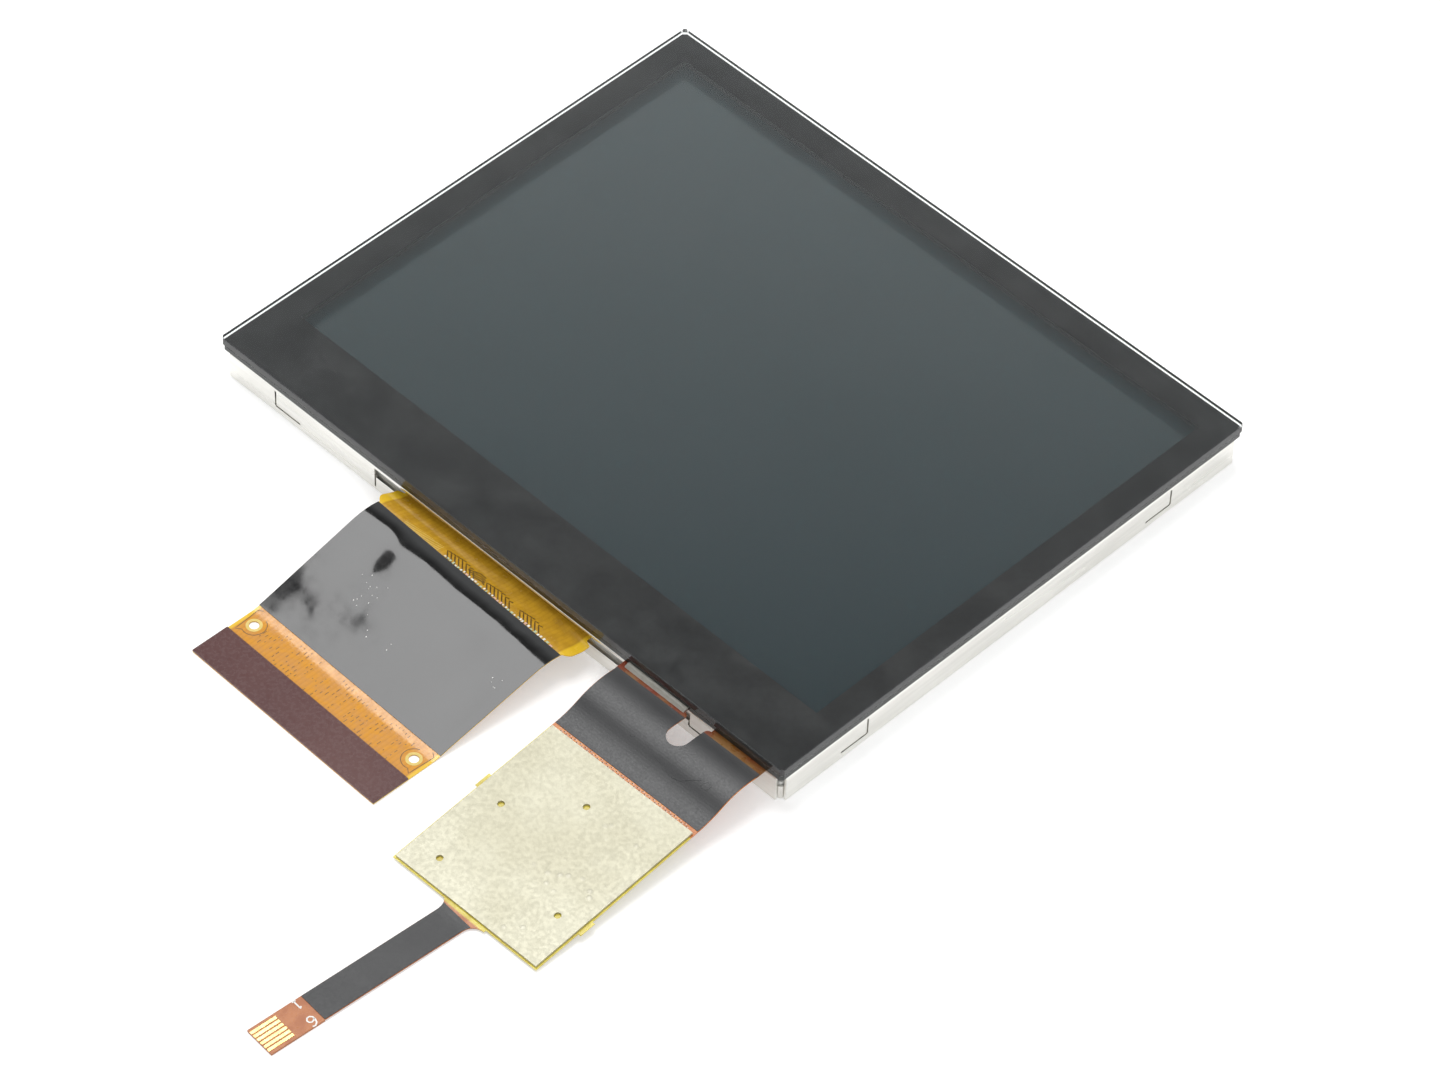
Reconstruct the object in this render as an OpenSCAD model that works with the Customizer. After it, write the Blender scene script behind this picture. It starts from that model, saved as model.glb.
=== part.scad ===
/* [Touch panel] */
// Width of the clear window, along the long edge
window_w = 70.65; // [60:0.05:90]
// Height of the clear window, along the short edge
window_h = 53; // [45:0.05:70]
// Thickness of the cover glass
cover_glass_t = 0.95; // [0.55:0.05:2]
// Thickness of the touch sensor's glass
sensor_glass_t = 0.55; // [0.3:0.05:1.1]
// How far the sensor glass sits inside the edge of the cover glass
sensor_inset = 0.1; // [0:0.05:0.5]
// Clipped corner of both glass plates
glass_clip = 0.35; // [0.1:0.05:1]
// Ground bevel along the edges of both glass plates
glass_bevel = 0.08; // [0.02:0.01:0.2]
// Thickness of the clear adhesive between the two glass plates
adhesive_t = 0.1; // [0.06:0.01:0.3]
// Thickness of the black ink on the back of the cover glass
print_t = 0.03; // [0.01:0.01:0.05]
// Thickness of the foam tape between the touch panel and the bezel
gasket_t = 0.2; // [0.15:0.05:0.5]

/* [Bezel] */
// How far the steel sits inside the edge of the cover glass
steel_inset = 0.25; // [0.1:0.05:1]
// Thickness of the bezel's steel sheet
bezel_t = 0.25; // [0.15:0.05:0.3]
// Outer radius of the bend between the bezel's face and its walls
bezel_bend_r = 0.4; // [0.35:0.05:0.6]
// Gap between the foot of the bezel's walls and the back of the module
bezel_foot = 0.08; // [0.02:0.01:0.2]
// Length of wall left off at each corner
corner_relief = 0.7; // [0.5:0.05:1.5]
// How much wider the hole in the bezel's face is than the clear window, on each side
bezel_window_margin = 0.5; // [0.1:0.05:0.7]
// Width of the cuts in the walls
slit_w = 0.22; // [0.1:0.02:0.4]
// Length of the level arm of each latch cut
latch_arm = 3.5; // [2:0.1:5]
// Height of the level arm of each latch cut above the back
latch_arm_z = 0.9; // [0.7:0.05:1.2]
// Distance from the main flex's ear to the near end of the flex opening
opening_margin = 3.3; // [1:0.05:5]
// Distance from the far end of the flex opening to the corner
opening_end_inset = 11.9; // [8:0.05:15]
// Distance from the corner to the latch cut in the wall that the flexes leave
latch_inset_flex = 7.35; // [5:0.05:12]
// Distance from the corner to the latch cuts in the opposite wall
latch_inset_far = 7.7; // [5:0.05:12]
// Distance from the far corner to the upper latch cut in each side wall
latch_inset_top = 9.8; // [6:0.05:14]
// Distance from the near corner to the lower latch cut in each side wall
latch_inset_bottom = 11.55; // [6:0.05:14]
// Height of the strip of wall left below the flex opening
opening_sill = 1.78; // [1.5:0.02:1.9]

/* [Liquid crystal cell] */
// Thickness of each of the two glass sheets of the cell
cell_glass_t = 0.5; // [0.3:0.05:0.7]
// Thickness of each polarizer
polarizer_t = 0.13; // [0.1:0.01:0.2]
// How far the colour filter glass reaches past the clear window
cell_margin = 1.4; // [1.2:0.05:2.5]
// Width of the ledge of the lower glass that carries the driver chip
ledge = 4.3; // [3.5:0.1:6]
// How far each polarizer sits inside the edge of the colour filter glass
polarizer_inset = 0.4; // [0.2:0.05:0.6]
// Thickness of the foam strip between the cell and the bezel's face
cushion_t = 0.23; // [0.2:0.01:0.5]
// Length, width and thickness of the driver chip
chip_size = [19.6, 1.2, 0.3];

/* [Backlight] */
// Thickness of the light guide
guide_t = 0.9; // [0.8:0.05:1.5]
// Thickness of each diffuser sheet
diffuser_t = 0.07; // [0.05:0.01:0.15]
// Thickness of each prism sheet
prism_t = 0.09; // [0.05:0.01:0.15]
// Thickness of the reflector sheet
reflector_t = 0.08; // [0.05:0.01:0.15]
// Thickness of the black rim tape that carries the cell
rim_tape_t = 0.06; // [0.05:0.01:0.15]
// How far the light guide reaches past the clear window
guide_margin = 0.75; // [0.4:0.05:0.9]
// Number of light-emitting diodes
led_count = 6; // [3:1:8]
// Length, depth and height of one diode
led_size = [3.8, 1, 0.7];
// Depth of the bay that holds the diodes
led_bay = 3.4; // [2.8:0.1:3.6]

/* [Rear cover] */
// Thickness of the rear cover's steel sheet
cover_t = 0.2; // [0.15:0.05:0.3]
// Gap between the rear cover's walls and the bezel's walls
cover_gap = 0.05; // [0.02:0.01:0.1]
// Corner radius of the rear cover, seen from above
cover_corner_r = 0.8; // [0.5:0.05:1.5]
// Radius of the rear cover's bottom edge
cover_edge_r = 0.3; // [0.25:0.05:0.5]
// Height of the rear cover's walls on the three sides without a flex
cover_wall = 2.4; // [2:0.05:2.6]
// Height of the rear cover's wall under the flex opening
cover_wall_flex = 1.7; // [1.55:0.05:1.75]
// Thickness of the moulded frame's rim beside the cell
frame_rim = 0.755; // [0.5:0.005:2]
// Thickness of the moulded frame's rim on the flex side
frame_rim_flex = 1.105; // [0.6:0.005:3]
// Gap between the moulded frame and the rear cover's walls
frame_gap = 0.1; // [0.05:0.01:0.2]
// Gap between the cell or the light guide and the moulded frame
pocket_gap = 0.12; // [0.05:0.01:0.2]
// Height of the moulded frame's walls beside the cell
frame_wall = 2.6; // [2.4:0.05:2.8]
// Height of the moulded frame's wall under the main flex
frame_wall_flex = 2.05; // [1.9:0.05:2.1]
// Length of each snap hook on the moulded frame
hook_l = 2.2; // [1.5:0.1:2.8]
// Height of each snap hook
hook_h = 0.6; // [0.4:0.05:0.7]

/* [Main flex] */
// Thickness of the main flex
main_flex_t = 0.1; // [0.06:0.01:0.12]
// Number of contacts at the end of the main flex
contact_count = 50; // [30:2:50]
// Distance from one contact to the next
contact_pitch = 0.5; // [0.4:0.1:0.5]
// Width of each contact
contact_w = 0.3; // [0.15:0.01:0.35]
// Length of each contact
contact_l = 3.6; // [2:0.1:4.2]
// Thickness of the contacts' plating and copper
contact_t = 0.035; // [0.02:0.005:0.05]
// How far the ears stand out at each side where the main flex leaves the bezel
ear_out = 0.7; // [0.3:0.05:1.5]
// Length of the ears beyond the edge of the bezel
ear_l = 3.2; // [2:0.1:4]
// Angle at which the main flex rises out of the opening
main_lift = 24; // [12:1:24.5]
// Angle of its slope down to the table
main_fall = 13.5; // [10:0.5:20]
// Radius of the bend at the opening
main_root_r = 4; // [2:0.5:5]
// Radius of the bend at the crest
main_crest_r = 8; // [6:0.5:10]
// Radius of the bend where it lands
main_landing_r = 6; // [4:0.5:10]
// Length of the part that lies flat
main_flat = 7.1; // [7.1:0.1:12]
// Turn of the whole main flex seen from above
main_yaw = -1.1; // [-2:0.1:2]
// Distance from the edge of the bezel to the start of the black cover film
main_film_start = 3.4; // [3:0.1:5]
// Distance from the tail's end to the end of the black cover film
main_film_end = 8.4; // [8:0.1:10]
// Thickness of the black cover film
main_film_t = 0.06; // [0.03:0.01:0.1]
// Length of the stiffener at the end of the main flex
main_stiffener_l = 4.35; // [4.3:0.05:5]
// Thickness of the stiffener at the end of the main flex
main_stiffener_t = 0.165; // [0.1:0.005:0.25]
// Distance from the main flex's side edges to the centres of the locating holes
hole_inset = 1.5; // [1:0.05:3]
// Radius of the locating holes
hole_r = 0.5; // [0.3:0.05:0.6]
// Distance from the tail's end to the locating holes
hole_setback = 6.4; // [6:0.05:6.4]

/* [Touch flex] */
// Thickness of the touch flex
touch_flex_t = 0.1; // [0.06:0.01:0.15]
// Width of the touch flex
touch_w = 18.6; // [16:0.1:19]
// Distance from the side of the cover glass to the side of the touch flex
touch_inset = 2.08; // [1:0.02:4]
// Length of the bond under the sensor glass
touch_bond = 2.3; // [1.5:0.1:3]
// Width of the slot between the two legs
leg_slot_w = 2.44; // [1:0.1:4]
// Offset of that slot from the centre line of the touch flex
leg_slot_x = 0.8; // [-2:0.1:2]
// Distance from the glass edge to the centre of the slot's round end
leg_slot_l = 2.85; // [2:0.05:5]
// Level length of the touch flex outside the glass
touch_root = 0.8; // [0.7:0.05:1.5]
// Angle at which the touch flex rises after that
touch_lift = 6; // [2:1:10]
// Steepest angle of its slope
touch_fall = 22; // [18:1:30]
// Tilt of the board end
board_tilt = 5; // [4:0.25:5.5]
// Radius of the bend that lifts the legs
touch_root_r = 10; // [5:1:15]
// Radius of the bend at the crest
touch_crest_r = 8; // [4:0.5:8.5]
// Radius of the bend before the board end
touch_ease_r = 10; // [6:0.5:10.5]
// Radius of the bend after the board end
touch_landing_r = 20; // [10:1:25]
// Turn of the whole touch flex seen from above
touch_yaw = 0.8; // [-2:0.1:2]
// Distance from the glass edge to the start of the black film on the legs
leg_film_start = 0.85; // [0.7:0.05:1.5]
// Thickness of the black film on the touch flex
touch_film_t = 0.05; // [0.03:0.01:0.1]
// Strip of bare flex between the black film and the stiffener plate
bare_strip = 0.5; // [0.2:0.05:1]
// Length of the stiffener plate
plate_l = 20.3; // [19:0.05:21]
// Thickness of the stiffener plate
plate_t = 0.25; // [0.1:0.05:0.3]
// Margin of flex past the stiffener plate
plate_margin = 0.2; // [0.1:0.05:0.4]
// Radius of the small holes in the stiffener plate
plate_hole_r = 0.36; // [0.2:0.02:0.6]
// Length of the break-off tabs at the board's sides
tab_l = 1.8; // [1:0.1:3]
// Width and thickness of the touch controller
controller_size = [6, 0.8];

/* [Touch tail] */
// Width of the touch tail
tail_w = 3.5; // [3.5:0.05:5]
// Length of the touch tail past the board
tail_l = 23.4; // [20:0.1:26]
// Offset of the tail's root from the centre line of the touch flex
tail_x = -0.22; // [-4:0.02:4]
// Turn of the tail against the touch flex
tail_yaw = -5; // [-6:0.1:6]
// Radius of the fillets at the tail's root
tail_fillet = 1.3; // [0.5:0.1:2]
// Bare stretch at the tail's root
tail_bare = 0.6; // [0.4:0.1:1.5]
// Length of the bare end of the tail
tail_end_l = 6.1; // [4:0.1:8]
// Thickness of the backing under the tail's end
backing_t = 0.15; // [0.1:0.01:0.25]
// Number of contacts on the touch tail
tail_contact_count = 6; // [4:1:6]
// Length of the touch tail's contacts
tail_contact_l = 2.9; // [2:0.1:3.5]
// Length of the sealing bead along the left leg
bead_l = 7.8; // [4:0.1:7.9]
// Width and height of the sealing bead
bead_size = [0.6, 0.26];

/* [Hidden] */
$fn = 64;
eps = 0.01;            // overlap of cutting tools past the faces that they cut
over = 1;              // reach of cutting tools past the outside of a piece
bend_step = 2;         // degrees of bend per facet of a flexible circuit

// Heights of the stack, from the back of the module up
z_reflector = cover_t;
z_guide = z_reflector + reflector_t;
z_lower_diffuser = z_guide + guide_t;
z_lower_prism = z_lower_diffuser + diffuser_t;
z_upper_prism = z_lower_prism + prism_t;
z_upper_diffuser = z_upper_prism + prism_t;
z_rim = z_upper_diffuser + diffuser_t;
z_lower_polarizer = z_rim + rim_tape_t;
z_tft = z_lower_polarizer + polarizer_t;
z_filter = z_tft + cell_glass_t;
z_upper_polarizer = z_filter + cell_glass_t;
z_cushion = z_upper_polarizer + polarizer_t;
z_bezel = z_cushion + cushion_t;
z_gasket = z_bezel + bezel_t;
z_sensor = z_gasket + gasket_t;
z_adhesive = z_sensor + sensor_glass_t;
z_cover = z_adhesive + adhesive_t;

// Outlines, as full width and height, from the clear window outwards
steel_border = pocket_gap + frame_gap + cover_t + cover_gap + bezel_t + steel_inset;
side_border = cell_margin + frame_rim + steel_border;
flex_border = cell_margin + ledge + frame_rim_flex + steel_border;
glass_w = window_w + 2 * side_border;
glass_h = window_h + side_border + flex_border;
window_shift = (flex_border - side_border) / 2;
bezel_w = glass_w - 2 * steel_inset;
bezel_h = glass_h - 2 * steel_inset;
cover_w = bezel_w - 2 * (bezel_t + cover_gap);
cover_h = bezel_h - 2 * (bezel_t + cover_gap);
frame_w = cover_w - 2 * (cover_t + frame_gap);
frame_h = cover_h - 2 * (cover_t + frame_gap);
filter_w = window_w + 2 * cell_margin;
filter_h = window_h + 2 * cell_margin;
polarizer_w = filter_w - 2 * polarizer_inset;
polarizer_h = filter_h - 2 * polarizer_inset;
tft_h = filter_h + ledge;
tft_shift = window_shift - ledge / 2;
guide_w = window_w + 2 * guide_margin;
guide_top = window_shift + window_h / 2 + guide_margin;
cell_foot = window_shift - filter_h / 2;      // edge of the colour filter glass above the ledge
ledge_foot = cell_foot - ledge;               // edge of the lower glass on the flex side
guide_h = guide_top - cell_foot;
guide_shift = (guide_top + cell_foot) / 2;
bay_foot = cell_foot - led_bay;
wall_y = -bezel_h / 2;                        // outer face of the wall that the flexes leave
glass_y = -glass_h / 2;

// Latch cuts: [side, place along it, direction of the level arm]; side 0 is the flex side
latches = [[0, latch_inset_flex - bezel_w / 2, 1], [1, bezel_h / 2 - latch_inset_top, -1],
    [1, latch_inset_bottom - bezel_h / 2, -1], [2, bezel_w / 2 - latch_inset_far, -1],
    [2, latch_inset_far - bezel_w / 2, 1], [3, latch_inset_top - bezel_h / 2, 1],
    [3, bezel_h / 2 - latch_inset_bottom, 1]];
side_turn = [0, 90, 180, -90];
side_out = [bezel_h / 2, bezel_w / 2, bezel_h / 2, bezel_w / 2];

// ---- Bent sheets -------------------------------------------------------------------------

// A path is a list of [y, z, heading]; heading 0 runs along -Y and a positive heading climbs.
// A segment is [length, 0] for a straight run or [radius, turn] for a bend.
function bend_steps(turn) = turn == 0 ? 1 : ceil(abs(turn) / bend_step);
function ahead(s, seg, f) = seg[1] == 0
    ? [s[0] - seg[0] * f * cos(s[2]), s[1] + seg[0] * f * sin(s[2]), s[2]]
    : let (r = seg[0] * sign(seg[1]), h = s[2] + f * seg[1])
        [s[0] - r * (sin(h) - sin(s[2])), s[1] + r * (cos(s[2]) - cos(h)), h];
function trace(s, segs, i = 0) = i >= len(segs) ? [s]
    : concat([for (k = [0 : bend_steps(segs[i][1]) - 1]) ahead(s, segs[i], k / bend_steps(segs[i][1]))],
        trace(ahead(s, segs[i], 1), segs, i + 1));
function walk(s, segs, i = 0) = i >= len(segs) ? s : walk(ahead(s, segs[i], 1), segs, i + 1);
function lifted(path, d) = [for (p = path) [p[0] + d * sin(p[2]), p[1] + d * cos(p[2])]];
function backwards(list) = [for (i = [len(list) - 1 : -1 : 0]) list[i]];

// One layer of a bent sheet, from height low to height high above the path
module sheet(path, low, high) {
    rotate([90, 0, 90])
        linear_extrude(glass_w, center = true)
            polygon(concat(lifted(path, low), backwards(lifted(path, high))));
}

// The same layer, cut to the outline seen from above that the children draw
module cut_sheet(path, low, high) {
    intersection() {
        sheet(path, low, high);
        translate([0, 0, -eps]) linear_extrude(z_cover) children();
    }
}

// ---- Flat pieces -------------------------------------------------------------------------

module slab(w, h, t, y = 0, z = 0) {
    translate([-w / 2, y - h / 2, z]) cube([w, h, t]);
}

// A rectangular ring, with its hole centred on the clear window
module ring(w, h, t, hole_w, hole_h, y = 0, z = 0) {
    difference() {
        slab(w, h, t, y, z);
        slab(hole_w, hole_h, t + 2 * eps, window_shift, z - eps);
    }
}

// A profile with its four corners bevelled, for glass edges
module bevelled_profile(w, t, b) {
    polygon([[-w / 2 + b, 0], [w / 2 - b, 0], [w / 2, b], [w / 2, t - b],
        [w / 2 - b, t], [-w / 2 + b, t], [-w / 2, t - b], [-w / 2, b]]);
}

// A glass plate with clipped corners and ground edges
module glass_plate(w, h, t, clip, bevel) {
    intersection() {
        linear_extrude(t)
            polygon([[-w / 2 + clip, -h / 2], [w / 2 - clip, -h / 2], [w / 2, -h / 2 + clip],
                [w / 2, h / 2 - clip], [w / 2 - clip, h / 2], [-w / 2 + clip, h / 2],
                [-w / 2, h / 2 - clip], [-w / 2, -h / 2 + clip]]);
        rotate([90, 0, 0]) linear_extrude(h + over, center = true) bevelled_profile(w, t, bevel);
        rotate([90, 0, 90]) linear_extrude(w + over, center = true) bevelled_profile(h, t, bevel);
    }
}

// ---- Touch panel -------------------------------------------------------------------------

module cover_glass() {
    color([0.13, 0.14, 0.15])
        translate([0, 0, z_cover])
            glass_plate(glass_w, glass_h, cover_glass_t, glass_clip, glass_bevel);
}

// The ink lies in the top of the adhesive layer, against the glass
module cover_print() {
    color([0.03, 0.03, 0.03])
        ring(glass_w - 2 * glass_clip, glass_h - 2 * glass_clip, print_t, window_w, window_h,
            0, z_cover - print_t);
}

module optical_adhesive() {
    color([0.85, 0.87, 0.88, 0.4])
        union() {
            slab(glass_w - 2 * glass_clip, glass_h - 2 * glass_clip, adhesive_t - print_t, 0, z_adhesive);
            slab(window_w, window_h, adhesive_t, window_shift, z_adhesive);
        }
}

module sensor_glass() {
    color([0.26, 0.28, 0.26, 0.6])
        translate([0, 0, z_sensor])
            glass_plate(glass_w - 2 * sensor_inset, glass_h - 2 * sensor_inset, sensor_glass_t,
                glass_clip, glass_bevel);
}

// Foam tape on the bezel's face, left open where the legs of the touch flex are bonded
module panel_gasket() {
    leg_room = 0.3;
    color([0.08, 0.08, 0.08])
        difference() {
            ring(bezel_w - 2 * bezel_bend_r, bezel_h - 2 * bezel_bend_r, gasket_t,
                window_w + 2 * bezel_window_margin, window_h + 2 * bezel_window_margin, 0, z_gasket);
            translate([touch_x - touch_w / 2 - leg_room, wall_y - over, z_gasket - eps])
                cube([touch_w + 2 * leg_room, over + touch_bond + leg_room, gasket_t + 2 * eps]);
        }
}

// ---- Bezel -------------------------------------------------------------------------------

// Section of the bend and wall, with the bend's centre at the origin and +X pointing outwards
module wall_section() {
    intersection() {
        difference() {
            circle(r = bezel_bend_r);
            circle(r = bezel_bend_r - bezel_t);
        }
        square(bezel_bend_r);
    }
    wall_h = z_gasket - bezel_bend_r - bezel_foot;
    translate([bezel_bend_r - bezel_t, -wall_h]) square([bezel_t, wall_h + eps]);
}

module bezel_wall(side) {
    along = side_out[(side + 1) % 4];
    rotate([0, 0, side_turn[side] - 90])
        translate([side_out[side] - bezel_bend_r, 0, z_gasket - bezel_bend_r])
            rotate([90, 0, 0])
                linear_extrude(2 * (along - corner_relief), center = true) wall_section();
}

// Places children on a side wall, with +X along it, +Y pointing into the module
module on_side(side) {
    rotate([0, 0, side_turn[side]]) translate([0, -side_out[side], 0]) children();
}

// An L-shaped cut that frees a latch tongue
module latch_cut(x, dir, foot_z) {
    top_z = z_gasket - bezel_bend_r;
    translate([x - slit_w / 2, -over, foot_z]) cube([slit_w, over + bezel_t + eps, top_z - foot_z]);
    translate([dir > 0 ? x : x - latch_arm, -over, foot_z - slit_w / 2])
        cube([latch_arm, over + bezel_t + eps, slit_w]);
}

// Opening that both flexes pass, with a relief cut at each end of its sill
module flex_opening() {
    left_relief_z = 0.45;
    opening_start = -main_w / 2 - ear_out - opening_margin;
    opening_end = bezel_w / 2 - opening_end_inset;
    translate([opening_start, -over, opening_sill])
        cube([opening_end - opening_start, over + bezel_t + eps, z_gasket - bezel_bend_r - opening_sill]);
    translate([opening_start, -over, left_relief_z])
        cube([slit_w, over + bezel_t + eps, opening_sill - left_relief_z + eps]);
    latch_cut(opening_end - slit_w / 2, 1, latch_arm_z + slit_w);
}

// Stamped from one sheet: a face with the window, and four walls bent down
module front_bezel() {
    color([0.8, 0.79, 0.76])
        difference() {
            union() {
                ring(bezel_w - 2 * bezel_bend_r, bezel_h - 2 * bezel_bend_r, bezel_t,
                    window_w + 2 * bezel_window_margin, window_h + 2 * bezel_window_margin, 0, z_bezel);
                for (side = [0 : 3]) bezel_wall(side);
            }
            for (l = latches) on_side(l[0]) latch_cut(l[1], l[2], latch_arm_z);
            on_side(0) flex_opening();
        }
}

// ---- Liquid crystal cell -----------------------------------------------------------------

module cell_cushion() {
    color([0.1, 0.1, 0.1])
        ring(polarizer_w, polarizer_h, cushion_t, window_w + 2 * bezel_window_margin,
            window_h + 2 * bezel_window_margin, window_shift, z_cushion);
}

module upper_polarizer() {
    color([0.2, 0.23, 0.26]) slab(polarizer_w, polarizer_h, polarizer_t, window_shift, z_upper_polarizer);
}

module filter_glass() {
    color([0.35, 0.4, 0.42, 0.7]) slab(filter_w, filter_h, cell_glass_t, window_shift, z_filter);
}

module tft_glass() {
    color([0.45, 0.5, 0.5, 0.7]) slab(filter_w, tft_h, cell_glass_t, tft_shift, z_tft);
}

module lower_polarizer() {
    color([0.25, 0.27, 0.3]) slab(polarizer_w, polarizer_h, polarizer_t, window_shift, z_lower_polarizer);
}

// The chip is bonded face down on the ledge, just below the colour filter glass
module driver_chip() {
    chip_gap = 0.4;
    color([0.15, 0.15, 0.17])
        slab(chip_size[0], chip_size[1], chip_size[2], cell_foot - chip_gap - chip_size[1] / 2, z_filter);
}

// ---- Backlight ---------------------------------------------------------------------------

module rim_tape() {
    color([0.06, 0.06, 0.06])
        ring(filter_w, tft_h, rim_tape_t, window_w, window_h, tft_shift, z_rim);
}

module optical_film(t, z) {
    slab(guide_w, guide_h, t, guide_shift, z);
}

module upper_diffuser() {
    color([0.93, 0.93, 0.92]) optical_film(diffuser_t, z_upper_diffuser);
}

module upper_prism_film() {
    color([0.88, 0.9, 0.92]) optical_film(prism_t, z_upper_prism);
}

module lower_prism_film() {
    color([0.86, 0.88, 0.9]) optical_film(prism_t, z_lower_prism);
}

module lower_diffuser() {
    color([0.95, 0.95, 0.94]) optical_film(diffuser_t, z_lower_diffuser);
}

module light_guide() {
    color([0.8, 0.88, 0.9, 0.6]) optical_film(guide_t, z_guide);
}

module reflector_film() {
    color([0.97, 0.97, 0.97]) optical_film(reflector_t, z_reflector);
}

// Places of the diodes along the bay
led_places = [for (i = [0 : led_count - 1]) (i - (led_count - 1) / 2) * guide_w / led_count];
strip_t = 0.1;
strip_gap = 0.1;                              // between the light guide and the strip
strip_front = cell_foot - strip_gap;
led_tail_w = 4;
led_tail_x = -6;
led_bend_r = 0.35;
led_tail_y = ledge_foot + 0.1;                // where the strip's tail turns up
led_rise = z_filter - cover_t - 2 * strip_t - 2 * led_bend_r;
led_strip_path = trace([strip_front, cover_t, 0], [[strip_front - led_tail_y, 0], [led_bend_r, 90],
    [led_rise, 0], [led_bend_r + strip_t, -90], [0.5, 0]]);

module led_strip() {
    strip_back = bay_foot + pocket_gap;
    color([0.86, 0.72, 0.4])
        cut_sheet(led_strip_path, 0, strip_t) {
            translate([-guide_w / 2, strip_back]) square([guide_w, strip_front - strip_back]);
            translate([led_tail_x - led_tail_w / 2, wall_y])
                square([led_tail_w, strip_front - wall_y]);
        }
}

module leds() {
    color([0.95, 0.93, 0.75])
        for (x = led_places)
            translate([x - led_size[0] / 2, strip_front - led_size[1], cover_t + strip_t])
                cube(led_size);
}

// A snap hook, on the side wall of the frame behind each latch tongue
module hook_place(l) {
    on_side(l[0])
        translate([l[1] + l[2] * latch_arm / 2, bezel_t + cover_gap, z_reflector + hook_h])
            children();
}

// Moulded ring: holds the light guide below, carries the cell on its ledge above
module moulded_frame() {
    floor_h = z_rim - z_reflector;
    pocket_w = filter_w + 2 * pocket_gap;
    pocket_h = tft_h + 2 * pocket_gap;
    bay_w = guide_w + 2 * pocket_gap;
    bay_h = guide_top + pocket_gap - bay_foot;
    tail_slot = led_tail_w + 0.6;
    frame_corner_r = cover_corner_r - cover_t - frame_gap;
    color([0.92, 0.92, 0.9])
        union() {
            difference() {
                translate([0, 0, z_reflector])
                    linear_extrude(frame_wall - z_reflector)
                        rounded_rect(frame_w, frame_h, frame_corner_r);
                slab(bay_w, bay_h, floor_h + 2 * eps, bay_foot + bay_h / 2, z_reflector - eps);
                slab(pocket_w, pocket_h, frame_wall, tft_shift, z_rim);
                // lower wall on the flex side
                translate([-frame_w, -frame_h, frame_wall_flex])
                    cube([2 * frame_w, frame_h + ledge_foot, frame_wall]);
                // way up for the tail of the diode strip
                translate([led_tail_x - tail_slot / 2, -frame_h, z_reflector - eps])
                    cube([tail_slot, frame_h + bay_foot + over, frame_wall]);
            }
            for (l = latches)
                hook_place(l)
                    translate([-hook_l / 2, 0, -hook_h / 2])
                        cube([hook_l, cover_t + frame_gap + eps, hook_h]);
        }
}

// ---- Rear cover --------------------------------------------------------------------------

module rounded_rect(w, h, r) {
    union() {
        square([w - 2 * r, h], center = true);
        square([w, h - 2 * r], center = true);
        for (x = [-1, 1], y = [-1, 1]) translate([x * (w / 2 - r), y * (h / 2 - r)]) circle(r = r);
    }
}

// A section whose two lower corners are rounded
module soft_foot(w, h, r) {
    union() {
        translate([-w / 2, r]) square([w, h - r]);
        translate([-w / 2 + r, 0]) square([w - 2 * r, h]);
        for (x = [-1, 1]) translate([x * (w / 2 - r), r]) circle(r = r);
    }
}

module drawn_block(w, h, height, corner_r, edge_r) {
    intersection() {
        linear_extrude(height) rounded_rect(w, h, corner_r);
        rotate([90, 0, 0]) linear_extrude(h + over, center = true) soft_foot(w, height, edge_r);
        rotate([90, 0, 90]) linear_extrude(w + over, center = true) soft_foot(h, height, edge_r);
    }
}

// Shallow drawn can that closes the back, with a window for each snap hook
module rear_cover() {
    play = 0.2;
    color([0.78, 0.77, 0.74])
        difference() {
            drawn_block(cover_w, cover_h, cover_wall, cover_corner_r, cover_edge_r);
            translate([0, 0, cover_t])
                linear_extrude(cover_wall)
                    rounded_rect(cover_w - 2 * cover_t, cover_h - 2 * cover_t, cover_corner_r - cover_t);
            translate([-cover_w, -cover_h, cover_wall_flex])
                cube([2 * cover_w, cover_h + ledge_foot, cover_wall]);
            for (l = latches)
                hook_place(l)
                    translate([-hook_l / 2 - play, -over, -hook_h / 2 - play / 2])
                        cube([hook_l + 2 * play, over + cover_t + eps, hook_h + play]);
        }
}

// ---- Main flex ---------------------------------------------------------------------------

main_w = contact_count * contact_pitch + contact_pitch;
main_bond = 1.5;                              // overlap on the ledge of the lower glass
main_rise = (main_root_r + main_crest_r) * (1 - cos(main_lift));
main_slope = (z_filter + main_rise - contact_t
    - (main_crest_r + main_landing_r) * (1 - cos(main_fall))) / sin(main_fall);
main_start = [ledge_foot + main_bond, z_filter, 0];
main_segments = [[main_start[0] - wall_y, 0], [main_root_r, main_lift],
    [main_crest_r, -main_lift - main_fall], [main_slope, 0], [main_landing_r, main_fall], [main_flat, 0]];
main_path = trace(main_start, main_segments);
main_end = walk(main_start, main_segments)[0];
hole_y = main_end + hole_setback;

// The flex turns a little about the point where it leaves the bezel
module main_turn() {
    translate([0, wall_y, 0]) rotate([0, 0, main_yaw]) translate([0, -wall_y, 0]) children();
}

module main_outline() {
    ear_r = 0.9;
    ear_w = main_w + 2 * ear_out;
    ear_end = wall_y - ear_l;
    difference() {
        union() {
            translate([-main_w / 2, main_end]) square([main_w, main_start[0] - main_end]);
            translate([-ear_w / 2, ear_end + ear_r]) square([ear_w, ear_l - ear_r]);
            for (x = [-1, 1]) translate([x * (ear_w / 2 - ear_r), ear_end + ear_r]) circle(r = ear_r);
        }
        for (x = [-1, 1]) translate([x * (main_w / 2 - hole_inset), hole_y]) circle(r = hole_r);
    }
}

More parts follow.
